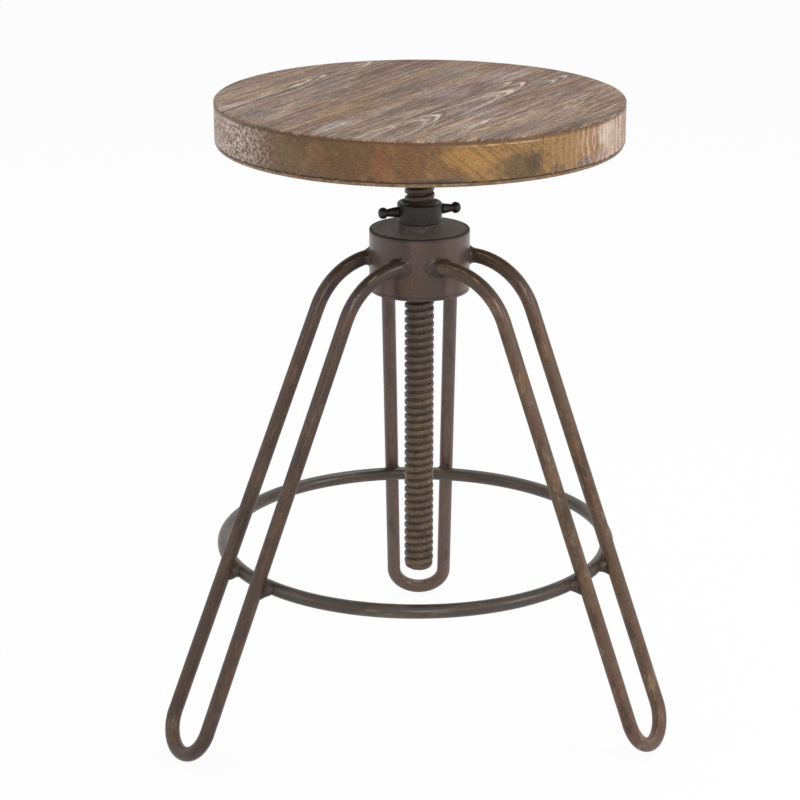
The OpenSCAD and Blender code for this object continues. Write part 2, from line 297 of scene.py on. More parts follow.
    def grain(
        self,
        boards: tuple[Socket, Socket],
        squeeze: float,
        layer: Value,
        size: float,
        detail: float = 2.0,
        rough: float = 0.5,
    ) -> Socket:
        """Noise drawn out along boards.

        Args:
            boards: Places across and along the boards.
            squeeze: How much the length counts: the less, the longer the lines.
            layer: Third place in the noise, which tells patterns apart.
            size: Width of one line, in millimetres.
            detail: How many finer layers lie on it.
            rough: Strength of the finer layers.

        Returns:
            The noise value.
        """
        across, along = boards
        at = self.point(across, self.times(along, squeeze), layer)
        return self.noise(at, size, detail, rough)

    def rise(self, value: Value, start: float, end: float) -> Socket:
        """Goes smoothly from 0 at start to 1 at end.

        Args:
            value: What is looked at.
            start: Where the result is 0.
            end: Where the result is 1. It may lie below start.

        Returns:
            The result.
        """
        node = self.tree.nodes.new("ShaderNodeMapRange")
        node.interpolation_type = "SMOOTHSTEP"
        self._plug(node.inputs["Value"], value)
        low, high = (start, end) if start < end else (end, start)
        node.inputs["From Min"].default_value = low
        node.inputs["From Max"].default_value = high
        node.inputs["To Min"].default_value = 0.0 if start < end else 1.0
        node.inputs["To Max"].default_value = 1.0 if start < end else 0.0
        return node.outputs["Result"]

    def peak(self, value: Value, centre: float, half: float) -> Socket:
        """1 where the value is at the centre, 0 beyond half its width."""
        off = self.math("ABSOLUTE", self.math("SUBTRACT", value, centre))
        return self.rise(off, half, 0.0)

    def mix(
        self, share: Value, a: Socket | Colour, b: Socket | Colour, how: str = "MIX"
    ) -> Socket:
        """Mixes two colours.

        Args:
            share: How much of b shows, 0 to 1.
            a: The colour below.
            b: The colour above.
            how: The blend, such as MIX or MULTIPLY.

        Returns:
            The mixed colour.
        """
        node = self.tree.nodes.new("ShaderNodeMix")
        node.data_type = "RGBA"
        node.blend_type = how
        self._plug(node.inputs["Factor"], share)
        self._plug(node.inputs[6], a)
        self._plug(node.inputs[7], b)
        return node.outputs[2]

    def tint(
        self,
        tone: Socket,
        value: Socket,
        start: float,
        end: float,
        share: Value,
        colour: Socket | Colour,
        how: str = "MIX",
    ) -> Socket:
        """Lays a colour over a tone where a value has risen.

        Args:
            tone: The colour below.
            value: What is looked at.
            start: Where nothing of the new colour shows.
            end: Where most of it shows.
            share: How much that is, 0 to 1.
            colour: The new colour.
            how: The blend, such as MIX or MULTIPLY.

        Returns:
            The mixed colour.
        """
        shown = self.times(self.rise(value, start, end), share)
        return self.mix(shown, tone, colour, how)

    def ramp(self, value: Socket, stops: list[tuple[float, Colour]]) -> Socket:
        """A colour ramp.

        Args:
            value: Where on the ramp, 0 to 1.
            stops: Each stop's place and colour, in rising order.

        Returns:
            The colour.
        """
        node = self.tree.nodes.new("ShaderNodeValToRGB")
        ends = node.color_ramp.elements
        while len(ends) < len(stops):
            ends.new(0.5)
        for end, (where, colour) in zip(ends, stops):
            end.position = where
            end.color = colour + (1.0,)
        self._plug(node.inputs[0], value)
        return node.outputs[0]

    def relief(
        self, height: Socket, depth: float, below: Socket | None = None
    ) -> Socket:
        """A bump normal.

        Args:
            height: The height, 0 to 1.
            depth: How deep the relief is, in millimetres.
            below: A normal that this one lies on.

        Returns:
            The normal.
        """
        node = self.tree.nodes.new("ShaderNodeBump")
        node.inputs["Strength"].default_value = 1.0
        node.inputs["Distance"].default_value = depth * MM
        self._plug(node.inputs["Height"], height)
        if below is not None:
            self._plug(node.inputs["Normal"], below)
        return node.outputs[0]

    def surface(
        self,
        colour: Socket | Colour,
        roughness: Value,
        metallic: Value = 0.0,
        normal: Socket | None = None,
        shine: float = 0.5,
        lacquer: float = 0.0,
    ) -> bpy.types.Material:
        """Ends the tree in a surface.

        Args:
            colour: Base colour.
            roughness: Roughness.
            metallic: Share of bare metal.
            normal: Bump normal.
            shine: Specular level.
            lacquer: Share of clear lacquer on top.

        Returns:
            The finished material.
        """
        skin = self.tree.nodes.new("ShaderNodeBsdfPrincipled")
        self._plug(skin.inputs["Base Color"], colour)
        self._plug(skin.inputs["Roughness"], roughness)
        self._plug(skin.inputs["Metallic"], metallic)
        skin.inputs["Specular IOR Level"].default_value = shine
        skin.inputs["Coat Weight"].default_value = lacquer
        skin.inputs["Coat Roughness"].default_value = 0.2
        if normal is not None:
            self._plug(skin.inputs["Normal"], normal)
        end = self.tree.nodes.new("ShaderNodeOutputMaterial")
        self.tree.links.new(skin.outputs[0], end.inputs[0])
        return self.material


# ---- finishes ----


@dataclass(frozen=True)
class Stain:
    """A soft patch of another colour on the planks' top.

    Attributes:
        across: Its centre, across the planks, in millimetres.
        along: Its centre, along the planks.
        half_across: Half its width across the planks.
        half_along: Half its length along the planks.
        colour: Its colour.
        strength: How much it covers, 0 to 1.
    """

    across: float
    along: float
    half_across: float
    half_along: float
    colour: Colour
    strength: float


@dataclass(frozen=True)
class Blot:
    """A soft patch of another colour on the seat's upright side.

    Attributes:
        angle: Its centre round the seat, in degrees.
        depth: Its centre below the seat's top, in millimetres.
        half_arc: Half its length round the seat, in millimetres.
        half_depth: Half its height.
        colour: Its colour.
        strength: How much it covers, 0 to 1.
        stop: Where a glue line cuts it off, across the planks, if one does.
    """

    angle: float
    depth: float
    half_arc: float
    half_depth: float
    colour: Colour
    strength: float
    stop: float | None = None


@dataclass(frozen=True)
class Tongue:
    """A pale pointed loop of grain on a plank's top.

    Attributes:
        across: Its middle, across the planks, in millimetres.
        tip: Its tip, along the planks.
        spread: How fast it opens behind the tip.
        length: How far behind the tip it can be seen.
        wide: How broad its line is, measured at the tip.
        wax: How pale it is, 0 to 1.
    """

    across: float
    tip: float
    spread: float
    length: float
    wide: float
    wax: float


@dataclass(frozen=True)
class Figure:
    """How one plank was sawn, which sets the lines on its top.

    Attributes:
        pith_across: Where the tree's middle lies, across the planks.
        pith_depth: How deep it lies below the seat's top.
        climb: How much deeper it gets for each millimetre along the plank.
        drift: How much it moves across for each millimetre along the plank.
        ring_gap: Width of one year's ring.
        reach: How far to each side the lines are filled with pale wax.
        wax: How strongly they are filled.
        tone: Lighter above 1, darker below.
        tongues: The pale loops in it.
    """

    pith_across: float
    pith_depth: float
    climb: float
    drift: float
    ring_gap: float
    reach: float
    wax: float
    tone: float
    tongues: tuple[Tongue, ...] = ()


@dataclass(frozen=True)
class PlankTop:
    """Brushed, stained and waxed top of one plank.

    Attributes:
        figure: How the plank was sawn.
        stains: The stains that lie on it.
        joints: The glue lines beside it, across the planks.
        grain_turn: Direction of the planks, in degrees.
        top: Height of the seat's top, in millimetres.
    """

    figure: Figure
    stains: tuple[Stain, ...]
    joints: tuple[float, ...]
    grain_turn: float
    top: float

    def material(self, name: str) -> bpy.types.Material:
        """Builds the material.

        Args:
            name: The material's name.

        Returns:
            The material.
        """
        r = Recipe(name)
        f = self.figure
        boards = r.planks(self.grain_turn)
        across, along = boards
        depth = r.math("SUBTRACT", self.top, r.z)

        # the year rings, cut by the plank's faces
        sway = r.grain(boards, 0.32, depth, 46.0, 2.0)
        wave = r.grain(boards, 0.2, f.pith_across, 13.0, 3.0)
        wobble = r.math("SUBTRACT", wave, 0.5)
        side = r.add(
            across, -f.pith_across, r.times(along, -f.drift), r.swing(sway, 26.0),
            r.times(wobble, 7.0),
        )
        down = r.add(depth, f.pith_depth, r.times(along, f.climb))
        far = r.length(side, down)
        year = r.math("FRACT", r.times(far, 1.0 / f.ring_gap))
        late = r.peak(year, 0.86, 0.15)
        pale = r.peak(year, 0.66, 0.13)
        near = r.rise(r.math("ABSOLUTE", side), f.reach, f.reach * 0.45)
        broken = r.noise(r.point(r.times(across, 0.6), r.times(along, 0.12), 3.0), 9.0)
        waxed = r.times(pale, near, r.rise(broken, 0.44, 0.60), f.wax)
        shadow = r.times(late, 0.40)
        for t in f.tongues:
            off = r.add(across, -t.across, r.times(wobble, 9.0))
            back = r.math("SUBTRACT", t.tip, along)
            fold = r.math("SUBTRACT", r.times(off, off, 1.0 / t.spread), back)
            seen = r.times(r.rise(back, t.length, t.length * 0.45), t.wax)
            line = r.times(r.peak(fold, 0.0, t.wide), seen, r.rise(broken, 0.26, 0.44))
            waxed = r.most(waxed, line)
            shadow = r.most(
                shadow, r.times(r.peak(fold, t.wide * 1.5, t.wide), seen, 0.75)
            )

        # brushed grain: long thin hollows with pale ridges between them
        hair = r.grain(boards, 0.022, f.pith_depth, 2.2, 3.0, 0.75)
        fine = r.grain(boards, 0.07, 9.0, 1.15, 3.0, 0.75)
        grit = r.grain(boards, 0.34, 4.0, 1.5, 2.0, 0.7)
        hollow = r.rise(hair, 0.49, 0.60)
        thin = r.rise(fine, 0.50, 0.63)

        # colour: grey-brown weathered wood, paled and greyed in part as painted sheen from
        # the top's grazing reflection
        cloud = r.grain(boards, 0.2, f.ring_gap, 34.0, 3.0, 0.6)
        tone = r.ramp(
            cloud,
            [
                (0.32, shade(110, 86, 70)),
                (0.44, shade(132, 108, 90)),
                (0.54, shade(148, 126, 108)),
                (0.66, shade(160, 142, 126)),
            ],
        )
        band = r.grain(boards, 0.06, f.pith_across, 17.0, 2.0, 0.6)
        tone = r.tint(tone, band, 0.50, 0.62, 0.65, shade(98, 78, 76))
        tone = r.tint(tone, band, 0.48, 0.38, 0.60, shade(164, 143, 114))
        ruddy = r.grain(boards, 0.07, f.pith_depth, 12.0, 3.0, 0.6)
        tone = r.tint(tone, ruddy, 0.53, 0.66, 0.5, shade(136, 96, 72))
        tone = r.tint(tone, ruddy, 0.46, 0.34, 0.45, shade(146, 130, 130))
        streak = r.grain(boards, 0.04, 5.0, 5.5, 3.0, 0.65)
        tone = r.tint(tone, streak, 0.50, 0.61, 0.50, shade(98, 76, 64))
        tone = r.tint(tone, streak, 0.47, 0.37, 0.36, shade(162, 141, 120))
        edge = r.grain(boards, 0.14, 1.0, 10.0, 4.0, 0.65)
        soft = r.swing(edge, 2.2)
        for s in self.stains:
            u = r.times(r.math("SUBTRACT", across, s.across), 1.0 / s.half_across)
            v = r.times(r.math("SUBTRACT", along, s.along), 1.0 / s.half_along)
            gone = r.add(r.length(u, v), soft)
            tone = r.tint(tone, gone, 1.2, 0.3, s.strength, s.colour)
        tone = r.mix(r.times(hollow, 0.62), tone, (0.54, 0.49, 0.47), "MULTIPLY")
        pale_hair = r.times(r.rise(hair, 0.48, 0.36), 0.62)
        tone = r.mix(pale_hair, tone, (1.46, 1.46, 1.46), "MULTIPLY")
        tone = r.mix(r.times(thin, 0.7), tone, (0.54, 0.50, 0.48), "MULTIPLY")
        pale_fine = r.times(r.rise(fine, 0.49, 0.36), 0.75)
        tone = r.mix(pale_fine, tone, (1.46, 1.46, 1.46), "MULTIPLY")
        tone = r.mix(shadow, tone, shade(78, 58, 48))
        tone = r.mix(waxed, tone, shade(216, 202, 184))
        tone = r.tint(tone, grit, 0.50, 0.68, 0.8, (0.56, 0.53, 0.51), "MULTIPLY")
        tone = r.tint(tone, grit, 0.49, 0.32, 0.8, (1.5, 1.5, 1.5), "MULTIPLY")

        # glue lines
        uneven = r.add(across, r.times(wobble, 1.6))
        gap = r.most(*[r.peak(uneven, line, 0.75) for line in self.joints])
        dirty = r.times(gap, r.rise(broken, 0.40, 0.58), 0.7)
        tone = r.mix(dirty, tone, shade(52, 40, 34))
        if f.tone != 1.0:
            tone = r.mix(1.0, tone, (f.tone, f.tone, f.tone), "MULTIPLY")

        height = r.add(
            r.times(shadow, 0.8), r.times(hollow, -0.55), r.times(thin, -0.3),
            r.times(waxed, -0.3), r.times(grit, -0.5),
        )
        normal = r.relief(height, 0.2)
        normal = r.relief(cloud, 0.5, normal)
        rough = r.add(0.52, r.times(hollow, 0.16), r.times(cloud, 0.12))
        return r.surface(tone, rough, 0.0, normal, 0.2)


@dataclass(frozen=True)
class PlankEdge:
    """Oiled upright side of the planks, honey coloured towards the right.

    Attributes:
        blots: The stains on it.
        joints: The glue lines, across the planks.
        grain_turn: Direction of the planks, in degrees.
        top: Height of the seat's top, in millimetres.
        radius: The seat's radius, in millimetres.
    """

    blots: tuple[Blot, ...]
    joints: tuple[float, ...]
    grain_turn: float
    top: float
    radius: float

    def arc_at(self, degrees: float) -> float:
        """Arc length from the front, at an angle counted from +X."""
        return math.radians(degrees - 270.0) * self.radius

    def material(self, name: str) -> bpy.types.Material:
        """Builds the material.

        Args:
            name: The material's name.

        Returns:
            The material.
        """
        r = Recipe(name)
        at = self.arc_at
        across, _ = r.planks(self.grain_turn)
        depth = r.math("SUBTRACT", self.top, r.z)
        # angle round the seat from -Y, so that its jump lies at the back
        angle = r.math("ARCTAN2", r.x, r.times(r.y, -1.0))
        arc = r.times(angle, self.radius)

        # the oil's tone, all the way round
        cloud = r.noise(r.place, 26.0, 3.0, 0.6)
        mottle = r.noise(r.place, 6.0, 3.0, 0.65)
        where = r.add(r.times(angle, 0.5 / math.pi), 0.5, r.swing(cloud, 0.10))
        tone = r.ramp(
            where,
            [
                (0.000, shade(150, 116, 76)),
                (0.150, shade(126, 100, 74)),
                (0.250, shade(152, 128, 110)),
                (0.320, shade(138, 112, 92)),
                (0.375, shade(104, 80, 60)),
                (0.444, shade(106, 80, 54)),
                (0.478, shade(116, 82, 54)),
                (0.514, shade(128, 94, 58)),
                (0.556, shade(150, 114, 70)),
                (0.600, shade(154, 118, 72)),
                (0.644, shade(160, 122, 82)),
                (0.668, shade(200, 172, 148)),
                (0.690, shade(206, 182, 164)),
                (0.712, shade(184, 158, 140)),
                (0.833, shade(150, 118, 80)),
                (0.917, shade(128, 98, 66)),
                (1.000, shade(150, 116, 76)),
            ],
        )
        tone = r.tint(tone, cloud, 0.50, 0.68, 0.28, shade(170, 132, 88))
        tone = r.tint(tone, mottle, 0.50, 0.66, 0.35, shade(96, 70, 48))

        # pale limed flecks at the left end
        fleck = r.noise(r.point(arc, r.times(depth, 0.9), 2.0), 2.6, 4.0, 0.75)
        left = r.rise(arc, at(234), at(208))
        limed = r.times(left, r.rise(arc, at(150), at(172)))
        tone = r.mix(
            r.times(limed, r.rise(fleck, 0.44, 0.56), 0.9), tone, shade(226, 209, 201)
        )
        tone = r.mix(
            r.times(limed, r.rise(fleck, 0.47, 0.36), 0.75), tone, shade(98, 73, 58)
        )
        edge = r.swing(r.noise(r.place, 8.0, 4.0, 0.65), 1.6)
        for b in self.blots:
            u = r.times(r.math("SUBTRACT", arc, at(b.angle)), 1.0 / b.half_arc)
            v = r.times(r.math("SUBTRACT", depth, b.depth), 1.0 / b.half_depth)
            gone = r.add(r.length(u, v), edge)
            share = r.times(r.rise(gone, 1.1, 0.45), b.strength)
            if b.stop is not None:
                share = r.times(share, r.rise(across, b.stop + 0.3, b.stop - 0.3))
            tone = r.mix(share, tone, b.colour)

        # slanting saw lines over the front, and short dashes of grain
        slant = r.add(r.times(arc, 0.62), r.times(depth, -0.78))
        saw = r.noise(
            r.point(slant, r.times(depth, 0.06), r.times(arc, 0.02)), 2.3, 1.0
        )
        front = r.times(r.rise(arc, at(246), at(276)), r.rise(arc, at(312), at(300)))
        cut = r.times(r.rise(saw, 0.48, 0.58), front)
        tone = r.mix(r.times(cut, 0.34), tone, shade(88, 62, 38))
        dash = r.noise(r.point(r.times(arc, 0.30), depth, 0.0), 1.3, 3.0, 0.75)
        tone = r.tint(tone, dash, 0.50, 0.64, 0.36, shade(84, 60, 40))
        tone = r.tint(tone, dash, 0.49, 0.36, 0.13, shade(196, 160, 116))
        dot = r.noise(r.place, 1.7, 3.0, 0.75)
        tone = r.tint(tone, dot, 0.54, 0.66, 0.5, shade(72, 50, 36))

        # rings round a knot near the right end
        u = r.math("SUBTRACT", arc, at(324.0))
        v = r.math("SUBTRACT", depth, 14.0)
        bend = r.swing(r.noise(r.place, 14.0, 3.0), 9.0)
        far = r.add(r.math("SQRT", r.add(r.times(u, u), r.times(v, v, 0.16))), bend)
        ring = r.math("FRACT", r.times(far, 1.0 / 6.8))
        inside = r.times(
            r.rise(arc, at(305), at(309)), r.rise(arc, at(366), at(356)),
            r.rise(mottle, 0.30, 0.46),
        )
        strong = r.rise(arc, at(333), at(340))
        near = r.rise(r.math("ABSOLUTE", u), 26.0, 12.0)
        dark = r.times(
            r.add(0.26, r.times(near, 0.22)), r.math("SUBTRACT", 1.0, strong)
        )
        pale = r.add(0.10, r.times(strong, 0.30), r.times(near, 0.26))
        wide = r.math("FRACT", r.times(r.add(arc, bend), 1.0 / 9.5))
        grown = r.most(
            r.times(r.peak(ring, 0.8, 0.22), inside, dark),
            r.times(
                r.peak(wide, 0.5, 0.26), strong, r.rise(arc, at(368), at(360)), 0.9
            ),
        )
        tone = r.mix(grown, tone, shade(122, 82, 60))
        core = r.times(r.rise(far, 6.5, 3.5), 0.45)
        tone = r.mix(core, tone, shade(146, 104, 88))
        tone = r.mix(
            r.times(r.peak(ring, 0.42, 0.24), inside, pale), tone, shade(226, 202, 182)
        )

        # open pores as dark specks, thickest at the left end
        pore = r.cells(r.place, 2.6)
        many = r.noise(r.place, 6.0, 2.0)
        speck = r.times(r.rise(pore, 0.26, 0.12), r.rise(many, 0.50, 0.62))
        tone = r.mix(
            r.times(speck, r.add(0.25, r.times(left, 0.65))), tone, shade(66, 46, 36)
        )

        # darker line under the rim, a painted highlight under it at the right front,
        # painted shade along the joint to the backing below, and dirt in the glue lines
        rag = r.noise(r.place, 5.0, 3.0, 0.7)
        rim = r.times(r.rise(depth, 4.6, 3.0), r.rise(rag, 0.28, 0.46))
        tone = r.mix(r.times(rim, 0.72), tone, shade(94, 66, 44))
        # painted highlight: a pale line just under the rim at the right front, where light
        # catches the side
        worn = r.times(
            r.peak(depth, 4.9, 0.9), r.rise(rag, 0.38, 0.52),
            r.rise(arc, at(276), at(288)), r.rise(arc, at(307), at(299)),
        )
        tone = r.mix(r.times(worn, 0.7), tone, shade(214, 184, 140))
        # painted shade: a dark ragged band at the planks' lower edge, along the joint to
        # the backing
        level = r.add(depth, r.swing(rag, 3.0))
        foot = r.times(r.rise(level, 32.6, 33.8), r.rise(rag, 0.30, 0.46))
        tone = r.mix(r.times(foot, 0.9), tone, shade(50, 37, 30))
        gap = r.most(*[r.peak(across, line, 0.5) for line in self.joints])
        dirty = r.times(gap, r.rise(mottle, 0.44, 0.56), 0.4)
        tone = r.mix(dirty, tone, shade(84, 62, 46))

        height = r.add(
            r.times(cut, -0.5), r.times(dash, -0.8), r.times(speck, -0.8),
            r.times(grown, 0.5),
        )
        normal = r.relief(height, 0.12)
        normal = r.relief(mottle, 0.35, normal)
        rough = r.add(0.46, r.times(mottle, 0.16), r.times(speck, 0.2))
        return r.surface(tone, rough, 0.0, normal, 0.3)


@dataclass(frozen=True)
class BackingBoard:
    """Oiled backing disc with painted shade along its ragged upper edge, at the joint
    under the planks.

    Attributes:
        joint: Height of the glue line on top of it, in millimetres.
        grain_turn: Direction of its grain, in degrees.
    """

    joint: float
    grain_turn: float

    def material(self, name: str) -> bpy.types.Material:
        """Builds the material.

        Args:
            name: The material's name.

        Returns:
            The material.
        """
        r = Recipe(name)
        boards = r.planks(self.grain_turn)
        flow = r.grain(boards, 0.06, r.z, 6.0, 4.0, 0.6)
        tone = r.ramp(
            flow,
            [
                (0.32, shade(104, 82, 60)),
                (0.48, shade(132, 104, 76)),
                (0.64, shade(156, 130, 98)),
            ],
        )
        hair = r.grain(boards, 0.03, r.z, 1.4, 2.0, 0.6)
        tone = r.tint(tone, hair, 0.50, 0.64, 0.45, shade(80, 60, 44))
        limed = r.rise(r.x, -90.0, -170.0)
        tone = r.mix(
            r.times(limed, r.rise(hair, 0.52, 0.40)), tone, shade(190, 172, 156)
        )
        rag = r.noise(r.place, 6.0, 3.0, 0.7)
        # painted shade along the upper edge, at the joint under the planks
        below = r.add(r.math("SUBTRACT", self.joint, r.z), r.swing(rag, 1.6))
        dirt = r.rise(below, 1.3, 0.5)
        tone = r.mix(r.times(dirt, 0.85), tone, shade(54, 42, 36))
        normal = r.relief(r.add(hair, r.times(dirt, -0.8)), 0.2)
        return r.surface(tone, 0.58, 0.0, normal, 0.3)


@dataclass(frozen=True)
class LegGrain:
    """Follows a leg's rods, so that streaks run along them.

    Attributes:
        turn: Direction of the leg, in degrees.
        lean: How far it leans outwards, in degrees.
        bend_start: How far out its upper bend starts, in millimetres.
        bend_height: Height where that bend ends.
        foot_height: Height where its foot's bend starts.
        rod: Radius of its rod.
        bend: Radius of its upper bend.
        level: Height at which its rods leave the drum.
        squeeze: How much the length counts.
    """

    turn: float
    lean: float
    bend_start: float
    bend_height: float
    foot_height: float
    rod: float = 6.35
    bend: float = 62.0
    level: float = 413.0
    squeeze: float = 0.24

    @classmethod
    def of(cls, node: str, turn: float, lean: float, foot_half: float) -> "LegGrain":
        """Works out a leg's bends, back from how far its foot reaches.

        Args:
            node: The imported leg.
            turn: Direction of the leg, in degrees.
            lean: How far it leans outwards, in degrees.
            foot_half: Half the distance between its rods at the foot.

        Returns:
            What the leg's streaks follow.
        """
        tilt = math.radians(lean)
        bend_height = cls.level - cls.bend * (1.0 - math.sin(tilt))
        foot_height = cls.rod + foot_half * math.cos(tilt)
        foot_start = farthest(node, turn) - cls.rod - foot_half * math.sin(tilt)
        bend_end = foot_start - math.tan(tilt) * (bend_height - foot_height)
        bend_start = bend_end - cls.bend * math.cos(tilt)
        return cls(turn, lean, bend_start, bend_height, foot_height)

    def place(self, r: Recipe) -> Socket:
        """Finds where a point lies on the rod.

        Args:
            r: The tree that it is worked out in.

        Returns:
            The place: twice across the rod, then along it.
        """
        turn, lean = math.radians(self.turn), math.radians(self.lean)
        out = r.add(r.times(r.x, math.cos(turn)), r.times(r.y, math.sin(turn)))
        aside = r.add(r.times(r.x, -math.sin(turn)), r.times(r.y, math.cos(turn)))
        ahead = r.most(r.add(out, -self.bend_start), 0.0)
        up = r.add(r.z, self.bend - self.level)
        curve = r.add(r.length(ahead, up), -self.bend)
        straight = r.add(
            r.times(ahead, math.cos(lean)), r.times(up, math.sin(lean)), -self.bend
        )
        share = r.rise(r.z, self.bend_height + 1.0, self.bend_height - 1.0)
        over = r.add(
            r.times(curve, r.math("SUBTRACT", 1.0, share)), r.times(straight, share)
        )
        below = r.most(
            r.times(r.add(r.times(r.z, -1.0), self.foot_height), 1 / math.cos(lean)),
            0.0,
        )
        spread = r.length(aside, below)
        along = r.add(
            r.times(r.math("SUBTRACT", out, r.z), self.squeeze), r.times(aside, 0.22)
        )
        return r.point(over, spread, along)


@dataclass(frozen=True)
class RingGrain:
    """Follows the footrest ring's rod.

    Attributes:
        radius: Radius of the ring's centre line, in millimetres.
        shift: How far the ring's centre lies towards -X.
        squeeze: How much the length counts.
    """

    radius: float = 171.0
    shift: float = 3.0
    squeeze: float = 0.20

    def place(self, r: Recipe) -> Socket:
        """Finds where a point lies on the rod.

        Args:
            r: The tree that it is worked out in.

        Returns:
            The place: twice across the rod, then along it.
        """
        x = r.add(r.x, self.shift)
        far = r.length(x, r.y)
        turn = r.math("ARCTAN2", x, r.times(r.y, -1.0))
        return r.point(
            r.add(far, -self.radius), r.z, r.times(turn, self.radius * self.squeeze)
        )


class Patina(Enum):
    """How the iron has aged, piece by piece."""

    OLIVE = "olive_iron"
    UMBER = "umber_iron"
    MAUVE = "mauve_iron"
    RING = "ring_iron"
    DRUM = "drum_iron"
    GREY = "grey_iron"
    GUIDE = "guide_iron"
    DARK = "dark_iron"
    THREAD = "thread_iron"
    WELD = "weld_iron"


@dataclass(frozen=True)
class Coat:
    """What a coat of iron gives a surface.

    Attributes:
        tone: Its colour.
        rough: Its roughness.
        normal: Its normal.
    """

    tone: Socket
    rough: Socket
    normal: Socket


@dataclass(frozen=True)
class Iron:
    """Lacquered, rubbed iron.

    Attributes:
        deep: Its darkest tone.
        body: Its main tone.
        warm: The tone of the warm patches.
        mauve: The tone of the cool patches.
        worn: The tone where it is rubbed pale.
        rough: Roughness of the iron.
        gloss: How much clear lacquer lies on it.
        shine: Its specular level.
        lump: Width of the patches, in millimetres.
        grit: Depth of the fine roughness, in millimetres.
        wear: How much of it is rubbed pale, 0 to 1.
        brush: How strongly fine streaks show, 0 to 1.
    """

    deep: Colour
    body: Colour
    warm: Colour
    mauve: Colour
    worn: Colour
    rough: float
    gloss: float
    shine: float
    lump: float
    grit: float
    wear: float
    brush: float

    def coat(self, r: Recipe, flow: Socket | None = None) -> Coat:
        """Builds the coat's colour, roughness and normal.

        Args:
            r: The tree that they go into.
            flow: Where a point lies on a rod, or nothing for a plain piece.

        Returns:
            The coat.
        """
        flow = r.place if flow is None else flow
        a, b, c = r.split(flow)
        cloud = r.noise(flow, self.lump, 4.0, 0.62)
        patch = r.noise(r.point(b, c, a), self.lump * 0.7, 3.0, 0.6)
        cool = r.noise(r.point(c, a, b), self.lump * 0.9, 3.0, 0.6)
        streak = r.noise(r.point(a, b, r.times(c, 0.8)), 2.0, 3.0, 0.7)
        fleck = r.noise(r.place, 1.8, 3.0, 0.7)
        tone = r.ramp(
            cloud, [(0.36, self.deep), (0.50, self.body), (0.70, self.body)]
        )
        tone = r.tint(tone, cool, 0.50, 0.64, 0.7, self.mauve)
        tone = r.tint(tone, patch, 0.50, 0.66, 0.8, self.warm)
        pale = r.noise(r.point(a, c, b), self.lump * 0.8, 3.0, 0.6)
        rubbed = r.times(
            r.rise(pale, 0.52, 0.70), r.add(r.rise(streak, 0.40, 0.62), 0.25), self.wear
        )
        tone = r.mix(rubbed, tone, self.worn)
        tone = r.tint(tone, streak, 0.52, 0.70, self.brush * 0.5, self.worn)
        tone = r.tint(tone, streak, 0.48, 0.34, self.brush, self.deep)
        pit = r.times(r.rise(fleck, 0.42, 0.30), 0.5)
        tone = r.mix(pit, tone, self.deep)
        dust = r.noise(r.place, 1.9, 3.0, 0.8)
        tone = r.tint(tone, dust, 0.50, 0.64, 0.6, (0.62, 0.59, 0.57), "MULTIPLY")
        tone = r.tint(tone, dust, 0.50, 0.36, 0.6, (1.42, 1.42, 1.42), "MULTIPLY")
        rough = r.add(self.rough, r.swing(patch, 0.3), r.times(pit, 0.2))
        normal = r.relief(r.noise(r.place, 1.3, 2.0, 0.6), self.grit)
        normal = r.relief(streak, self.grit * 3.0 * self.brush, normal)
        normal = r.relief(cloud, self.grit * 5.0, normal)
        return Coat(tone, rough, normal)

    def material(
        self, name: str, grain: LegGrain | RingGrain | None = None
    ) -> bpy.types.Material:
        """Builds the plain material.

        Args:
            name: The material's name.
            grain: What its streaks follow, if it is a rod.

        Returns:
            The material.
        """
        r = Recipe(name)
        flow = grain.place(r) if grain else None
        coat = self.coat(r, flow)
        tone = coat.tone
        if isinstance(grain, LegGrain):
            # darker towards the welds at the drum
            darker_to_drum = r.rise(r.z, grain.bend_height - 4.0, grain.level - 2.0)
            tone = r.mix(r.times(darker_to_drum, 0.6), tone, shade(58, 48, 43))
            # painted highlight: a pale, broken glint along the crown of the upper bend
            over, _, _ = r.split(flow)
            bare = r.rise(r.noise(flow, 5.0, 4.0, 0.75), 0.48, 0.60)
            high = r.rise(r.z, grain.bend_height - 8.0, grain.bend_height + 6.0)
            painted_glint = r.times(r.peak(over, 4.2, 0.9), high, bare)
            tone = r.mix(r.times(painted_glint, 0.5), tone, shade(178, 158, 138))
        return r.surface(tone, coat.rough, 0.0, coat.normal, self.shine, self.gloss)


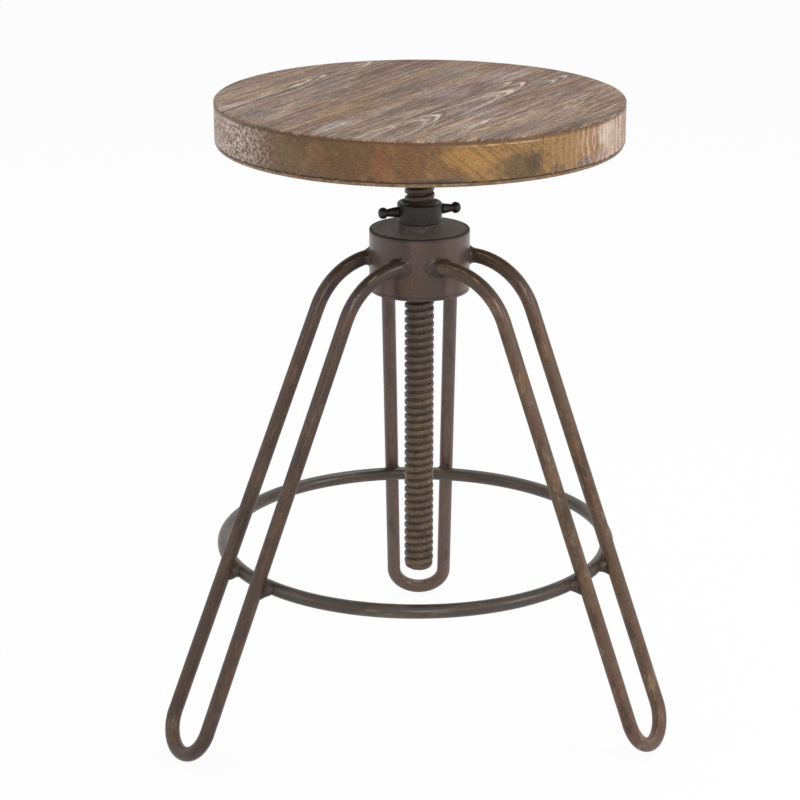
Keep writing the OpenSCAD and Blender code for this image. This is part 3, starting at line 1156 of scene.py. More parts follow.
IRONS: dict[Patina, Iron] = {
    Patina.OLIVE: Iron(
        shade(66, 48, 37), shade(94, 73, 56), shade(112, 80, 56),
        shade(94, 64, 54), shade(142, 120, 94), 0.46, 0.15, 0.3, 13.0, 0.03, 0.65, 0.18,
    ),
    Patina.UMBER: Iron(
        shade(52, 38, 32), shade(72, 54, 44), shade(90, 64, 45),
        shade(68, 49, 46), shade(116, 96, 82), 0.44, 0.18, 0.3, 14.0, 0.02, 0.35, 0.18,
    ),
    Patina.MAUVE: Iron(
        shade(70, 53, 46), shade(92, 72, 62), shade(98, 73, 56),
        shade(86, 70, 72), shade(116, 98, 88), 0.46, 0.16, 0.35, 16.0, 0.02, 0.30, 0.12,
    ),
    Patina.RING: Iron(
        shade(44, 35, 30), shade(60, 50, 42), shade(74, 58, 42),
        shade(64, 51, 48), shade(112, 98, 82), 0.44, 0.22, 0.4, 11.0, 0.03, 0.6, 0.30,
    ),
    Patina.DRUM: Iron(
        shade(54, 40, 33), shade(72, 54, 43), shade(84, 60, 40),
        shade(84, 63, 62), shade(112, 94, 88), 0.36, 0.32, 0.3, 22.0, 0.03, 0.3, 0.08,
    ),
    Patina.GREY: Iron(
        shade(98, 91, 89), shade(116, 108, 107), shade(114, 102, 92),
        shade(110, 102, 104), shade(138, 130, 126), 0.60, 0.0, 0.3, 9.0, 0.05, 0.5,
        0.18,
    ),
    Patina.GUIDE: Iron(
        shade(66, 61, 59), shade(92, 86, 83), shade(96, 86, 74),
        shade(90, 82, 83), shade(126, 119, 114), 0.58, 0.0, 0.3, 9.0, 0.05, 0.5, 0.2,
    ),
    Patina.DARK: Iron(
        shade(26, 23, 22), shade(38, 34, 33), shade(48, 39, 35),
        shade(42, 37, 38), shade(78, 71, 67), 0.46, 0.15, 0.3, 12.0, 0.03, 0.45, 0.15,
    ),
    Patina.THREAD: Iron(
        shade(58, 45, 37), shade(88, 70, 56), shade(104, 82, 56),
        shade(80, 64, 60), shade(132, 112, 92), 0.46, 0.2, 0.3, 14.0, 0.03, 0.5, 0.35,
    ),
    Patina.WELD: Iron(
        shade(34, 26, 23), shade(52, 40, 34), shade(70, 51, 40),
        shade(66, 50, 46), shade(104, 84, 74), 0.46, 0.2, 0.3, 6.0, 0.05, 0.35, 0.3,
    ),
}


@dataclass(frozen=True)
class ThreadIron:
    """Iron of the screw, with rust and dirt in its groove.

    Attributes:
        iron: The coat.
        root: Radius of the groove's floor, in millimetres.
        depth: The groove's depth.
    """

    iron: Iron
    root: float
    depth: float

    def material(self, name: str) -> bpy.types.Material:
        """Builds the material.

        Args:
            name: The material's name.

        Returns:
            The material.
        """
        r = Recipe(name)
        coat = self.iron.coat(r)
        far = r.length(r.x, r.y)
        rag = r.noise(r.place, 3.0, 3.0, 0.7)
        low = r.rise(
            r.add(far, r.swing(rag, 1.2)), self.root + self.depth * 0.70,
            self.root + self.depth * 0.10,
        )
        rust = r.mix(r.rise(rag, 0.46, 0.60), shade(48, 36, 31), shade(78, 52, 36))
        shadow = r.rise(r.z, 260.0, 330.0)
        tone = r.mix(r.times(shadow, 0.55), coat.tone, shade(62, 48, 46))
        tone = r.mix(r.times(low, 0.62), tone, rust)
        crest = r.rise(far, self.root + self.depth * 0.80, self.root + self.depth)
        tone = r.mix(
            r.times(crest, r.rise(rag, 0.46, 0.62), 0.22), tone, self.iron.worn
        )
        rough = r.add(coat.rough, r.times(low, 0.3))
        return r.surface(
            tone, rough, 0.0, coat.normal, self.iron.shine, self.iron.gloss
        )


@dataclass(frozen=True)
class DrumIron:
    """Iron of the drum, with a dirty, chipped line along its rims.

    Attributes:
        side: The coat of its upright side.
        face: The coat of its flat top, where the piece has one.
        rim: Height of the dark line, in millimetres.
        half: Half the height of that line.
        radius: The drum's radius.
        top: Height of the flat top.
    """

    side: Iron
    face: Iron | None
    rim: float
    half: float
    radius: float
    top: float

    def material(self, name: str) -> bpy.types.Material:
        """Builds the material.

        Args:
            name: The material's name.

        Returns:
            The material.
        """
        r = Recipe(name)
        squat = r.point(r.x, r.y, r.times(r.z, 0.4))
        coat = self.side.coat(r, squat)
        tone, rough = coat.tone, coat.rough
        # painted sheen: paler, mauve left and right sides of the drum, standing in for the
        # reflection of the bright surroundings at its edges
        cool = r.rise(r.math("ABSOLUTE", r.add(r.x, 2.0)), 14.0, 34.0)
        tone = r.mix(r.times(cool, 0.45), tone, shade(106, 86, 84))
        rag = r.noise(r.place, 4.0, 3.0, 0.7)
        jag = r.swing(rag, 1.6)
        level = r.add(r.z, r.times(jag, 1.6))
        far = r.length(r.x, r.y)
        chips = r.peak(level, self.rim, self.half)
        outer = r.rise(far, self.radius - 2.2, self.radius - 0.9)
        chips = r.times(chips, r.rise(rag, 0.34, 0.50), outer)
        if self.face is not None:
            upper = self.face.coat(r)
            flat = r.times(
                r.rise(r.z, self.top - 0.5, self.top - 0.2),
                r.rise(far, self.radius - 0.8, self.radius - 1.6),
            )
            tone = r.mix(flat, tone, upper.tone)
            rough = r.add(rough, r.times(flat, 0.22))
            inner = r.rise(r.add(far, jag), self.radius - 2.6, self.radius - 1.5)
            spill = r.noise(r.place, 7.0, 3.0, 0.7)
            broad = r.rise(
                r.add(far, r.times(r.rise(spill, 0.52, 0.62), 2.6)), self.radius - 1.4,
                self.radius - 0.8,
            )
            high = r.rise(r.z, self.top - 2.0, self.top - 1.0)
            chips = r.most(chips, r.times(r.most(r.times(inner, 0.85), broad), high))
        tone = r.mix(r.times(chips, 0.9), tone, shade(30, 27, 26))
        rough = r.add(rough, r.times(chips, 0.2))
        normal = r.relief(r.times(chips, -1.0), 0.25, coat.normal)
        iron = self.face or self.side
        return r.surface(tone, rough, 0.0, normal, iron.shine, iron.gloss)


# ---- meshes ----


def make_mesh(
    name: str,
    points: list[Vector] | np.ndarray,
    faces: list[tuple[int, ...]],
    body: str,
) -> bpy.types.Object:
    """Makes a smooth mesh object that rides on a body.

    Args:
        name: The piece's name.
        points: Its corners, in metres.
        faces: Its faces, as corner numbers.
        body: The body that it moves with.

    Returns:
        The object.
    """
    mesh = bpy.data.meshes.new(name)
    mesh.from_pydata([tuple(p) for p in points], [], faces)
    mesh.update()
    mesh.shade_smooth()
    piece = bpy.data.objects.new(name, mesh)
    bpy.context.scene.collection.objects.link(piece)
    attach(piece, body)
    return piece


def dress(node: str, material: bpy.types.Material) -> None:
    """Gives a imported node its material.

    Args:
        node: The node's name.
        material: The material.
    """
    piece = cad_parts[node]
    for place in piece.material_slots:
        place.material = material
    if not piece.material_slots:
        piece.data.materials.append(material)


def jitter(x: float, y: float, z: float) -> float:
    """Even noise between -1 and 1 at a point given in lumps."""
    return noise.noise(Vector((x, y, z)))


# ---- the seat ----


@dataclass
class Seat:
    """The round seat: five glued planks on a thin backing disc.

    Attributes:
        grain_turn: Direction of the planks, turned from +X, in degrees.
        joints: The glue lines, across the planks, in millimetres.
        ease: Radius of the rubbed rim.
        groove: Depth of the open glue lines.
        groove_half: Half the width of the open glue lines.
        chip: How much deeper the rim is rubbed where it is chipped.
        split_start: Where the split at the front starts, from the middle.
        split_run: Length over which it opens.
        split_depth: Its depth at the rim.
        step: Distance between the mesh's lines.
        skin: How far the planks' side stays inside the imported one.
        figures: How each plank was sawn.
        stains: The stains on the top.
        blots: The stains on the side.
    """

    grain_turn: float = 61.0
    joints: tuple[float, ...] = (-85.0, -14.0, 74.0, 156.0)
    ease: float = 1.5
    groove: float = 0.35
    groove_half: float = 0.6
    chip: float = 1.3
    split_start: float = 128.0
    split_run: float = 40.0
    split_depth: float = 2.6
    step: float = 1.7
    skin: float = 0.02
    figures: tuple[Figure, ...] = (
        Figure(-118.0, 30.0, 0.020, 0.02, 4.2, 26.0, 0.45, 0.94, (
            Tongue(-119.5, -4.0, 0.12, 210.0, 34.0, 0.95),
            Tongue(-122.0, 20.0, 0.9, 40.0, 8.0, 0.8),
            Tongue(-120.0, 44.0, 0.8, 46.0, 9.0, 0.85),
            Tongue(-122.0, 84.0, 0.9, 50.0, 9.0, 0.8),
            Tongue(-117.0, 118.0, 1.0, 46.0, 8.0, 0.8),
        )),
        Figure(-96.0, 34.0, -0.020, 0.03, 4.4, 20.0, 0.35, 0.92, (
            Tongue(-58.0, -40.0, 0.5, 90.0, 12.0, 0.35),
        )),
        Figure(46.0, 37.0, 0.030, -0.05, 3.6, 36.0, 0.35, 0.97, (
            Tongue(54.0, 62.0, 1.5, 210.0, 13.0, 0.95),
            Tongue(54.0, 40.0, 1.5, 150.0, 10.0, 0.5),
            Tongue(54.0, 78.0, 1.5, 110.0, 8.0, 0.45),
            Tongue(49.0, -58.0, 3.2, 100.0, 8.0, 0.95),
            Tongue(49.0, -80.0, 3.4, 70.0, 8.0, 0.6),
            Tongue(37.0, 94.0, 0.7, 50.0, 10.0, 0.75),
            Tongue(48.0, 100.0, 1.6, 26.0, 7.0, 0.9),
            Tongue(66.0, 124.0, 1.6, 44.0, 8.0, 0.85),
            Tongue(66.0, 146.0, 2.2, 60.0, 7.0, 0.7),
            Tongue(38.0, -112.0, 1.2, 60.0, 9.0, 0.7),
        )),
        Figure(112.0, 48.0, 0.045, 0.04, 3.8, 34.0, 0.30, 1.02, (
            Tongue(94.0, -58.0, 0.5, 90.0, 18.0, 0.85),
            Tongue(92.0, -76.0, 0.5, 70.0, 14.0, 0.7),
            Tongue(126.0, 30.0, 0.7, 120.0, 12.0, 0.3),
        )),
        Figure(150.0, 40.0, 0.020, 0.00, 3.6, 20.0, 0.30, 1.0),
    )
    stains: tuple[Stain, ...] = (
        Stain(-34, -60, 20, 66, shade(172, 138, 96), 0.44),
        Stain(-58, -75, 8, 34, shade(150, 96, 66), 0.51),
        Stain(-152, 34, 9, 20, shade(164, 110, 78), 0.44),
        Stain(-162, 16, 7, 16, shade(174, 120, 78), 0.44),
        Stain(-30, 152, 16, 14, shade(158, 112, 78), 0.42),
        Stain(-72, 138, 18, 24, shade(116, 72, 56), 0.51),
        Stain(-84, 70, 17, 56, shade(96, 74, 68), 0.54),
        Stain(-98, 10, 14, 40, shade(108, 96, 96), 0.51),
        Stain(-78, -20, 14, 60, shade(106, 84, 76), 0.41),
        Stain(-86, -124, 18, 18, shade(110, 108, 116), 0.58),
        Stain(-60, -130, 12, 30, shade(160, 144, 134), 0.41),
        Stain(-112, -110, 16, 30, shade(164, 148, 140), 0.51),
        Stain(-140, -50, 20, 60, shade(168, 146, 128), 0.41),
        Stain(14, -18, 22, 50, shade(98, 75, 64), 0.51),
        Stain(8, 26, 22, 34, shade(158, 142, 140), 0.54),
        Stain(-10, 90, 24, 60, shade(150, 128, 112), 0.34),
        Stain(22, 116, 18, 34, shade(164, 148, 146), 0.54),
        Stain(52, 106, 22, 20, shade(120, 104, 98), 0.51),
        Stain(76, -30, 18, 30, shade(150, 134, 138), 0.48),
        Stain(86, -84, 12, 26, shade(172, 156, 146), 0.44),
        Stain(-5, -138, 9, 26, shade(190, 184, 184), 0.58),
        Stain(30, -100, 30, 22, shade(112, 86, 66), 0.41),
        Stain(48, 20, 26, 40, shade(128, 106, 92), 0.34),
        Stain(130, 20, 26, 60, shade(160, 134, 112), 0.37),
        Stain(104, 70, 20, 36, shade(148, 130, 122), 0.34),
    )
    blots: tuple[Blot, ...] = (
        Blot(297.5, 25.0, 26.0, 13.0, shade(88, 74, 52), 0.8, 156.0),
        Blot(301.5, 24.0, 10.0, 12.0, shade(72, 62, 48), 0.7, 156.0),
        Blot(274.0, 34.5, 24.0, 4.5, shade(62, 50, 46), 0.85),
        Blot(279.0, 33.0, 12.0, 5.0, shade(92, 76, 78), 0.7),
        Blot(260.0, 22.0, 8.0, 16.0, shade(138, 82, 56), 0.5),
        Blot(257.0, 34.0, 5.0, 6.0, shade(76, 54, 44), 0.7),
        Blot(234.0, 20.0, 15.0, 17.0, shade(118, 106, 76), 0.55),
        Blot(240.0, 30.0, 22.0, 8.0, shade(108, 92, 78), 0.4),
        Blot(243.5, 20.0, 7.0, 9.0, shade(132, 86, 60), 0.4),
        Blot(284.0, 14.0, 26.0, 12.0, shade(188, 140, 74), 0.5),
        Blot(320.0, 30.0, 13.0, 6.5, shade(112, 98, 98), 0.75),
        Blot(328.0, 29.0, 12.0, 5.0, shade(144, 132, 136), 0.6),
        Blot(309.5, 31.0, 9.0, 5.0, shade(98, 80, 62), 0.7),
        Blot(330.0, 12.0, 14.0, 11.0, shade(226, 212, 200), 0.6),
        Blot(206.0, 3.0, 22.0, 4.0, shade(216, 208, 206), 0.6),
        Blot(192.0, 30.0, 24.0, 8.0, shade(196, 184, 190), 0.55),
        Blot(198.0, 14.0, 16.0, 10.0, shade(174, 128, 90), 0.4),
        Blot(60.0, 22.0, 30.0, 14.0, shade(128, 96, 66), 0.5),
        Blot(108.0, 14.0, 26.0, 10.0, shade(190, 146, 96), 0.5),
        Blot(150.0, 26.0, 18.0, 9.0, shade(104, 84, 70), 0.5),
        Blot(20.0, 28.0, 16.0, 7.0, shade(106, 94, 92), 0.5),
    )

    def __post_init__(self) -> None:
        """Reads the seat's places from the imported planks."""
        boxes = [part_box(f"seat_plank_{i}") for i in range(1, 6)]
        self.top = max(b[1].z for b in boxes) / MM
        self.bottom = min(b[0].z for b in boxes) / MM
        self.radius = max(b[1].y for b in boxes) / MM
        turn = math.radians(self.grain_turn)
        self.side = Vector((math.sin(turn), -math.cos(turn), 0.0))
        self.length = Vector((math.cos(turn), math.sin(turn), 0.0))

    def spot(self, across: float, along: float, height: float) -> Vector:
        """A point in metres from its place on the planks in millimetres."""
        flat = self.side * across + self.length * along
        return Vector((flat.x, flat.y, height)) * MM

    def lines(self, low: float, high: float) -> list[float]:
        """Places of the mesh's lines along one plank.

        Args:
            low: One side of the plank, across the planks.
            high: The other side.

        Returns:
            The places, closer together at both sides.
        """
        near = [0.0, 0.25, 0.6, 1.2, 2.2]
        inner_low, inner_high = low + near[-1], high - near[-1]
        count = max(2, round((inner_high - inner_low) / self.step))
        middle = np.linspace(inner_low, inner_high, count + 1)[1:-1]
        places = [low + n for n in near]
        places += [float(m) for m in middle]
        return places + [high - n for n in reversed(near)]

    def surface_drop(
        self, across: float, along: float, low: float, high: float
    ) -> float:
        """How far the worn top lies below the seat's true top.

        Args:
            across: Place across the planks, in millimetres.
            along: Place along the planks.
            low: One side of this plank.
            high: The other side.

        Returns:
            The drop, in millimetres.
        """
        lump = jitter(across * 0.05, along * 0.02, 4.0)
        flaw = jitter(across * 0.11, along * 0.11, 8.0)
        ease = self.ease * (1.0 + 0.25 * lump) + self.chip * max(0.0, flaw - 0.34)
        rim = self.radius - math.hypot(across, along)
        inset = max(0.0, ease - rim)
        drop = ease - math.sqrt(max(0.0, ease * ease - inset * inset))
        drop += 0.05 + 0.05 * lump
        for joint in self.joints:
            if abs(joint - low) < 1e-6 or abs(joint - high) < 1e-6:
                off = abs(across - joint)
                open_up = 0.6 + 0.4 * jitter(0.3 * joint, along * 0.03, 2.0)
                bell = math.exp(-((off / self.groove_half) ** 2))
                drop += self.groove * open_up * bell
        # the split at the front end of the second glue line
        off = abs(across - self.joints[1] - 0.8 * jitter(along * 0.15, 0.0, 6.0))
        run = min(1.0, max(0.0, (-along - self.split_start) / self.split_run))
        half = 0.5 + 1.3 * run
        return drop + self.split_depth * run * math.exp(-((off / half) ** 2))

    def plank(self, number: int, low: float, high: float) -> bpy.types.Object:
        """Builds one plank.

        Args:
            number: Its number, from 1.
            low: One side of it, across the planks, in millimetres.
            high: Its other side.

        Returns:
            The plank.
        """
        edge = self.radius - self.skin
        places = self.lines(low, high)
        near = [0.0, 0.12, 0.35, 0.7, 1.2, 2.0, 3.4]
        soft, deepest = 3.0, 33.4
        levels = [0.3, 0.9, *(float(z) for z in np.linspace(soft, deepest, 11))]
        points: list[Vector] = []
        rows: list[list[int]] = []
        for across in places:
            half = math.sqrt(max(0.05, edge * edge - across * across))
            inner = max(half - near[-1], half * 0.5)
            ends = [half - min(n, half * 0.5 * i / 6) for i, n in enumerate(near)]
            middle = np.linspace(-inner, inner, 59)[1:-1]
            alongs = [-e for e in ends] + [float(m) for m in middle] + ends[::-1]
            row = []
            for along in alongs:
                drop = self.surface_drop(across, along, low, high)
                row.append(len(points))
                points.append(self.spot(across, along, self.top - drop))
            rows.append(row)
        faces: list[tuple[int, ...]] = []
        for a, b in zip(rows, rows[1:]):
            for i in range(len(a) - 1):
                faces.append((a[i], b[i], b[i + 1], a[i + 1]))
        top_count = len(faces)
        # the closed outline, then the upright side below it
        outline = [row[0] for row in rows] + rows[-1][1:]
        outline += [row[-1] for row in reversed(rows[:-1])] + rows[0][-2:0:-1]
        above = outline
        for level in levels:
            below = []
            for i, corner in enumerate(outline):
                p = points[corner] / MM
                height = self.top - level
                if level < soft:
                    height = min(p.z - 0.2, height)
                flat = Vector((p.x, p.y))
                turn = math.atan2(p.y, p.x)
                rub = 0.12 + 0.12 * jitter(turn * 9.0, height * 0.08, 1.0)
                if flat.length > edge - 0.4:
                    flat *= (edge - rub) / flat.length
                below.append(len(points))
                points.append(Vector((flat.x, flat.y, height)) * MM)
            for i in range(len(outline)):
                j = (i + 1) % len(outline)
                faces.append((above[i], below[i], below[j], above[j]))
            above = below
        floor = []
        for corner in above:
            p = points[corner].copy()
            p.z = (self.bottom + 0.01) * MM
            floor.append(len(points))
            points.append(p)
        for i in range(len(outline)):
            j = (i + 1) % len(outline)
            faces.append((above[i], floor[i], floor[j], above[j]))
        faces.append(tuple(reversed(floor)))
        piece = make_mesh(f"plank_{number}", points, faces, "seat")
        for i, face in enumerate(piece.data.polygons):
            face.material_index = 0 if i < top_count else 1
        piece.data.polygons[len(faces) - 1].use_smooth = False
        return piece

    def build(self) -> list[bpy.types.Object]:
        """Builds and dresses the planks and dresses the backing.

        Returns:
            The new pieces.
        """
        cuts = [-self.radius + 0.06, *self.joints, self.radius - 0.06]
        edge = PlankEdge(
            self.blots, self.joints, self.grain_turn, self.top, self.radius
        ).material("planks_side")
        pieces = []
        for i, figure in enumerate(self.figures):
            low, high = cuts[i], cuts[i + 1]
            piece = self.plank(i + 1, low, high)
            stains = tuple(
                s for s in self.stains
                if low - s.half_across < s.across < high + s.half_across
            )
            joints = tuple(j for j in self.joints if j in (low, high))
            top = PlankTop(figure, stains, joints, self.grain_turn, self.top)
            piece.data.materials.append(top.material(f"plank_{i + 1}_top"))
            piece.data.materials.append(edge)
            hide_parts(f"seat_plank_{i + 1}")
            pieces.append(piece)
        backing = BackingBoard(self.bottom, self.grain_turn)
        dress("seat_backing", backing.material("backing_board"))
        return pieces


# ---- the screw ----


@dataclass
class Screw:
    """The coarse square screw below the seat, as a true helix.

    Attributes:
        pitch: Distance from one turn to the next, in millimetres.
        depth: Depth of the groove.
        crest: Share of the pitch that the crest takes.
        sides: How many steps one turn takes.
        tip: Height of the plain tip.
        tip_taper: How far the tip narrows.
        tip_fill: How far it stands out over the groove's floor.
        tip_gap: How far above the tip the thread has run out.
        tip_fade: Height over which it runs out there.
        top_gap: How far below the plain top it has run out.
        top_fade: Height over which it runs out there.
        wear: How far the crest is worn down, more or less.
        plain: Height of the plain top inside the flange.
        plain_radius: Its radius.
        merge: Corners that lie closer than this become one.
    """

    pitch: float = 6.8
    depth: float = 2.3
    crest: float = 0.72
    sides: int = 56
    tip: float = 4.6
    tip_taper: float = 4.2
    tip_fill: float = 1.8
    tip_gap: float = 2.0
    tip_fade: float = 2.5
    top_gap: float = 1.0
    top_fade: float = 3.0
    wear: float = 0.10
    plain: float = 8.0
    plain_radius: float = 10.0
    merge: float = 0.01

    def __post_init__(self) -> None:
        """Reads the screw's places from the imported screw."""
        low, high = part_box("screw_spindle")
        self.radius = high.x / MM
        self.low = low.z / MM
        self.high = high.z / MM - self.plain

    def profile(self) -> list[tuple[float, float]]:
        """Draws one turn's outline.

        Returns:
            Its points: share of the pitch, and height of the thread, 0 to 1.
        """
        half = self.crest / 2
        flank = [(-0.01, 0.0), (0.02, 0.42), (0.07, 0.76), (0.14, 0.93), (0.24, 1.0)]
        rising = [(0.5 - half + share, lift) for share, lift in flank]
        falling = [(0.5 + half - share, lift) for share, lift in reversed(flank)]
        return [(0.0, 0.0), *rising, *falling]

    def radius_at(self, height: float, thread: float, turn: float) -> float:
        """Radius of the screw's skin.

        Args:
            height: Height of the point, in millimetres.
            thread: How far it stands up to the crest, 0 to 1.
            turn: Its angle round the screw.

        Returns:
            The radius, in millimetres.
        """
        root = self.radius - self.depth
        bare = (self.tip + self.tip_gap - height + self.low) / self.tip_fade
        bare = min(1.0, max(0.0, bare))
        full = (self.high - self.top_gap - height) / self.top_fade
        full = min(1.0, max(0.0, full))
        worn = self.wear + self.wear * jitter(turn * 1.3, height * 0.09, 3.0)
        r = root + (self.depth - worn) * thread * (1.0 - bare) * full
        r += self.tip_fill * bare
        rise = height - self.low
        if rise < self.tip:
            bend = 1.0 - rise / self.tip
            r -= self.tip_taper * (1.0 - math.sqrt(max(0.0, 1.0 - bend * bend)))
        return r

    def build(self) -> list[bpy.types.Object]:
        """Builds the screw.

        Returns:
            The screw.
        """
        shape = self.profile()
        turns = int((self.high - self.low) / self.pitch) + 2
        points: list[tuple[float, float, float]] = []
        grid: list[list[int]] = []
        for i in range(self.sides):
            turn = 2 * math.pi * i / self.sides
            column = []
            for k in range(-1, turns):
                for share, thread in shape:
                    z = self.low + self.pitch * (k + share + i / self.sides)
                    z = min(self.high, max(self.low, z))
                    r = self.radius_at(z, thread, turn)
                    column.append(len(points))
                    points.append(
                        (r * math.cos(turn) * MM, r * math.sin(turn) * MM, z * MM)
                    )
            grid.append(column)
        faces: list[tuple[int, ...]] = []
        count = len(grid[0])
        per_turn = len(shape)
        for i in range(self.sides):
            a = grid[i]
            b = grid[(i + 1) % self.sides]
            shift = per_turn if i == self.sides - 1 else 0
            for j in range(count - 1 - shift):
                faces.append((a[j], b[j + shift], b[j + 1 + shift], a[j + 1]))
        self.cap(points, faces)
        self.stub(points, faces)
        piece = make_mesh("screw", points, faces, "seat")
        self.clean(piece.data)
        iron = ThreadIron(IRONS[Patina.THREAD], self.radius - self.depth, self.depth)
        piece.data.materials.append(iron.material("screw_iron"))
        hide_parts("screw_spindle")
        return [piece]

    def ring(
        self, points: list[tuple[float, float, float]], radius: float, height: float
    ) -> list[int]:
        """Adds one ring of corners round the axis.

        Args:
            points: The mesh's corners, which grow.
            radius: The ring's radius, in millimetres.
            height: Its height.

        Returns:
            The new corners' numbers.
        """
        first = len(points)
        for i in range(self.sides):
            turn = 2 * math.pi * i / self.sides
            x, y = radius * math.cos(turn), radius * math.sin(turn)
            points.append((x * MM, y * MM, height * MM))
        return list(range(first, len(points)))

    def cap(
        self, points: list[tuple[float, float, float]], faces: list[tuple[int, ...]]
    ) -> None:
        """Adds the flat disc that closes the screw's lower end.

        Args:
            points: The mesh's corners, which grow.
            faces: The mesh's faces, which grow.
        """
        middle = len(points)
        points.append((0.0, 0.0, self.low * MM))
        radius = self.radius - self.depth + self.tip_fill - self.tip_taper
        rim = self.ring(points, radius, self.low)
        for i in range(self.sides):
            faces.append((middle, rim[(i + 1) % self.sides], rim[i]))

    def stub(
        self, points: list[tuple[float, float, float]], faces: list[tuple[int, ...]]
    ) -> None:
        """Adds the plain top that sits inside the flange.

        Args:
            points: The mesh's corners, which grow.
            faces: The mesh's faces, which grow.
        """
        end = self.high + self.plain
        outline = [
            (self.radius - self.depth, self.high),
            (self.plain_radius, self.high),
            (self.plain_radius, end),
            (0.5, end),
        ]
        rings = [self.ring(points, radius, height) for radius, height in outline]
        for a, b in zip(rings, rings[1:]):
            for i in range(self.sides):
                j = (i + 1) % self.sides
                faces.append((a[i], a[j], b[j], b[i]))
        faces.append(tuple(rings[-1]))

    def clean(self, mesh: bpy.types.Mesh) -> None:
        """Merges doubled corners and drops flat slivers.

        Args:
            mesh: The screw's mesh.
        """
        work = bmesh.new()
        work.from_mesh(mesh)
        bmesh.ops.remove_doubles(work, verts=work.verts, dist=self.merge * MM)
        bmesh.ops.recalc_face_normals(work, faces=work.faces)
        work.to_mesh(mesh)
        work.free()
        mesh.update()


# ---- collar, hub, legs and footrest ----


@dataclass
class Collar:
    """The threaded collar with its thumb screws and washer, and the seat's flange with its
    screws.

    Attributes:
        turn: Direction of the left thumb screw, in degrees.
        tip: How far from the axis the thumb screws' inner ends lie, in
            millimetres.
        end: How far out their heads reach.
        gap: How far off the collar their outer parts start.
        shank: Radius of their shanks.
        point: Radius of their inner ends.
        bevel: Length of the bevel there.
        wear: How unevenly they are worn, as a share of the radius.
        sides: How many sides they have.
        outline: A thumb screw's outline outside the collar: its radius, and
            its place between the collar and the end of the head.
    """

    turn: float = 199.0
    tip: float = 13.2
    end: float = 37.05
    gap: float = 0.2
    shank: float = 2.45
    point: float = 2.2
    bevel: float = 0.4
    wear: float = 0.035
    sides: int = 40
    outline: tuple[tuple[float, float], ...] = (
        (4.6, 0.0), (4.7, 0.06), (4.6, 0.16), (4.2, 0.27), (3.9, 0.38),
        (3.6, 0.50), (3.5, 0.57), (3.8, 0.61), (4.5, 0.65), (4.95, 0.69),
        (5.1, 0.74), (5.05, 0.80), (4.75, 0.87), (4.0, 0.94), (2.7, 0.985),
        (1.1, 1.0),
    )

    def thumb_screw(self, name: str, node: str, turn: float) -> bpy.types.Object:
        """Builds one thumb screw, turned and a little uneven.

        Args:
            name: The body that it rides on.
            node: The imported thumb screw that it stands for.
            turn: Its direction, in degrees.

        Returns:
            The thumb screw.
        """
        way = math.radians(turn)
        out = Vector((math.cos(way), math.sin(way), 0.0))
        aside = Vector((-out.y, out.x, 0.0))
        up = Vector((0.0, 0.0, 1.0))
        low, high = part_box(node)
        level = (low.z + high.z) / 2 / MM
        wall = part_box("lock_collar")[1].x / MM + self.gap
        run = self.end - wall
        shape = [
            (self.point, self.tip),
            (self.shank, self.tip + self.bevel),
            (self.shank, wall),
        ]
        shape += [(r, wall + run * share) for r, share in self.outline]
        sides = self.sides
        points: list[Vector] = []
        for r, place in shape:
            for i in range(sides):
                a = 2 * math.pi * i / sides
                lump = jitter(math.cos(a) + turn, math.sin(a), place * 0.3)
                bare = place > wall
                worn = 1.0 - self.wear * (1.0 + lump) if bare else 1.0
                side = aside * math.cos(a) + up * math.sin(a)
                points.append((out * place + side * r * worn + up * level) * MM)
        faces: list[tuple[int, ...]] = []
        for row in range(len(shape) - 1):
            for i in range(sides):
                a, b = row * sides + i, row * sides + (i + 1) % sides
                faces.append((a, b, b + sides, a + sides))
        faces.append(tuple(range(sides))[::-1])
        faces.append(tuple(range((len(shape) - 1) * sides, len(shape) * sides)))
        return make_mesh(f"{name}_screw", points, faces, name)

    def build(self) -> list[bpy.types.Object]:
        """Builds the thumb screws and dresses the collar's pieces.

        Returns:
            The thumb screws.
        """
        dark = IRONS[Patina.DARK]
        dress("lock_collar", dark.material("collar_iron"))
        dress("thrust_washer", IRONS[Patina.GUIDE].material("washer_iron"))
        dress("seat_flange", dark.material("flange_iron"))
        dress("flange_screws", dark.material("flange_screw_iron"))
        pieces = []
        for hand, turn in (("left", self.turn), ("right", self.turn + 180.0)):
            node = f"thumbscrew_{hand}"
            piece = self.thumb_screw(f"thumb_{hand}", node, turn)
            piece.data.materials.append(dark.material(f"thumb_{hand}_iron"))
            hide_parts(node)
            pieces.append(piece)
        return pieces


@dataclass
class Hub:
    """The drum with its plates and guide tube.

    Attributes:
        line: Half the height of the dirty line at its rims, in millimetres.
        lower: Height of the lower one over the drum's underside.
    """

    line: float = 1.4
    lower: float = 2.8

    def build(self) -> list[bpy.types.Object]:
        """Dresses the drum.

        Returns:
            No new pieces.
        """
        low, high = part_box("hub_shell")
        radius = high.x / MM
        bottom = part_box("hub_bottom_plate")[0].z / MM
        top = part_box("hub_top_plate")[1].z / MM
        side, face = IRONS[Patina.DRUM], IRONS[Patina.GREY]
        shell = DrumIron(side, None, low.z / MM, self.line, radius, top)
        upper = DrumIron(side, face, top, self.line, radius, top)
        lower = DrumIron(side, None, bottom + self.lower, self.line, radius, top)
        dress("hub_shell", shell.material("drum_iron"))
        dress("hub_top_plate", upper.material("drum_top_iron"))
        dress("hub_bottom_plate", lower.material("drum_bottom_iron"))
        dress("guide_bush", IRONS[Patina.GUIDE].material("guide_iron"))
        return []


@dataclass(frozen=True)
class Leg:
    """Places of one hairpin leg.

    Attributes:
        node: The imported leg.
        grain: How its rods run.
        half_gap: Half the distance between its rods at the drum.
        patina: How its iron has aged.
    """

    node: str
    grain: LegGrain
    half_gap: float
    patina: Patina


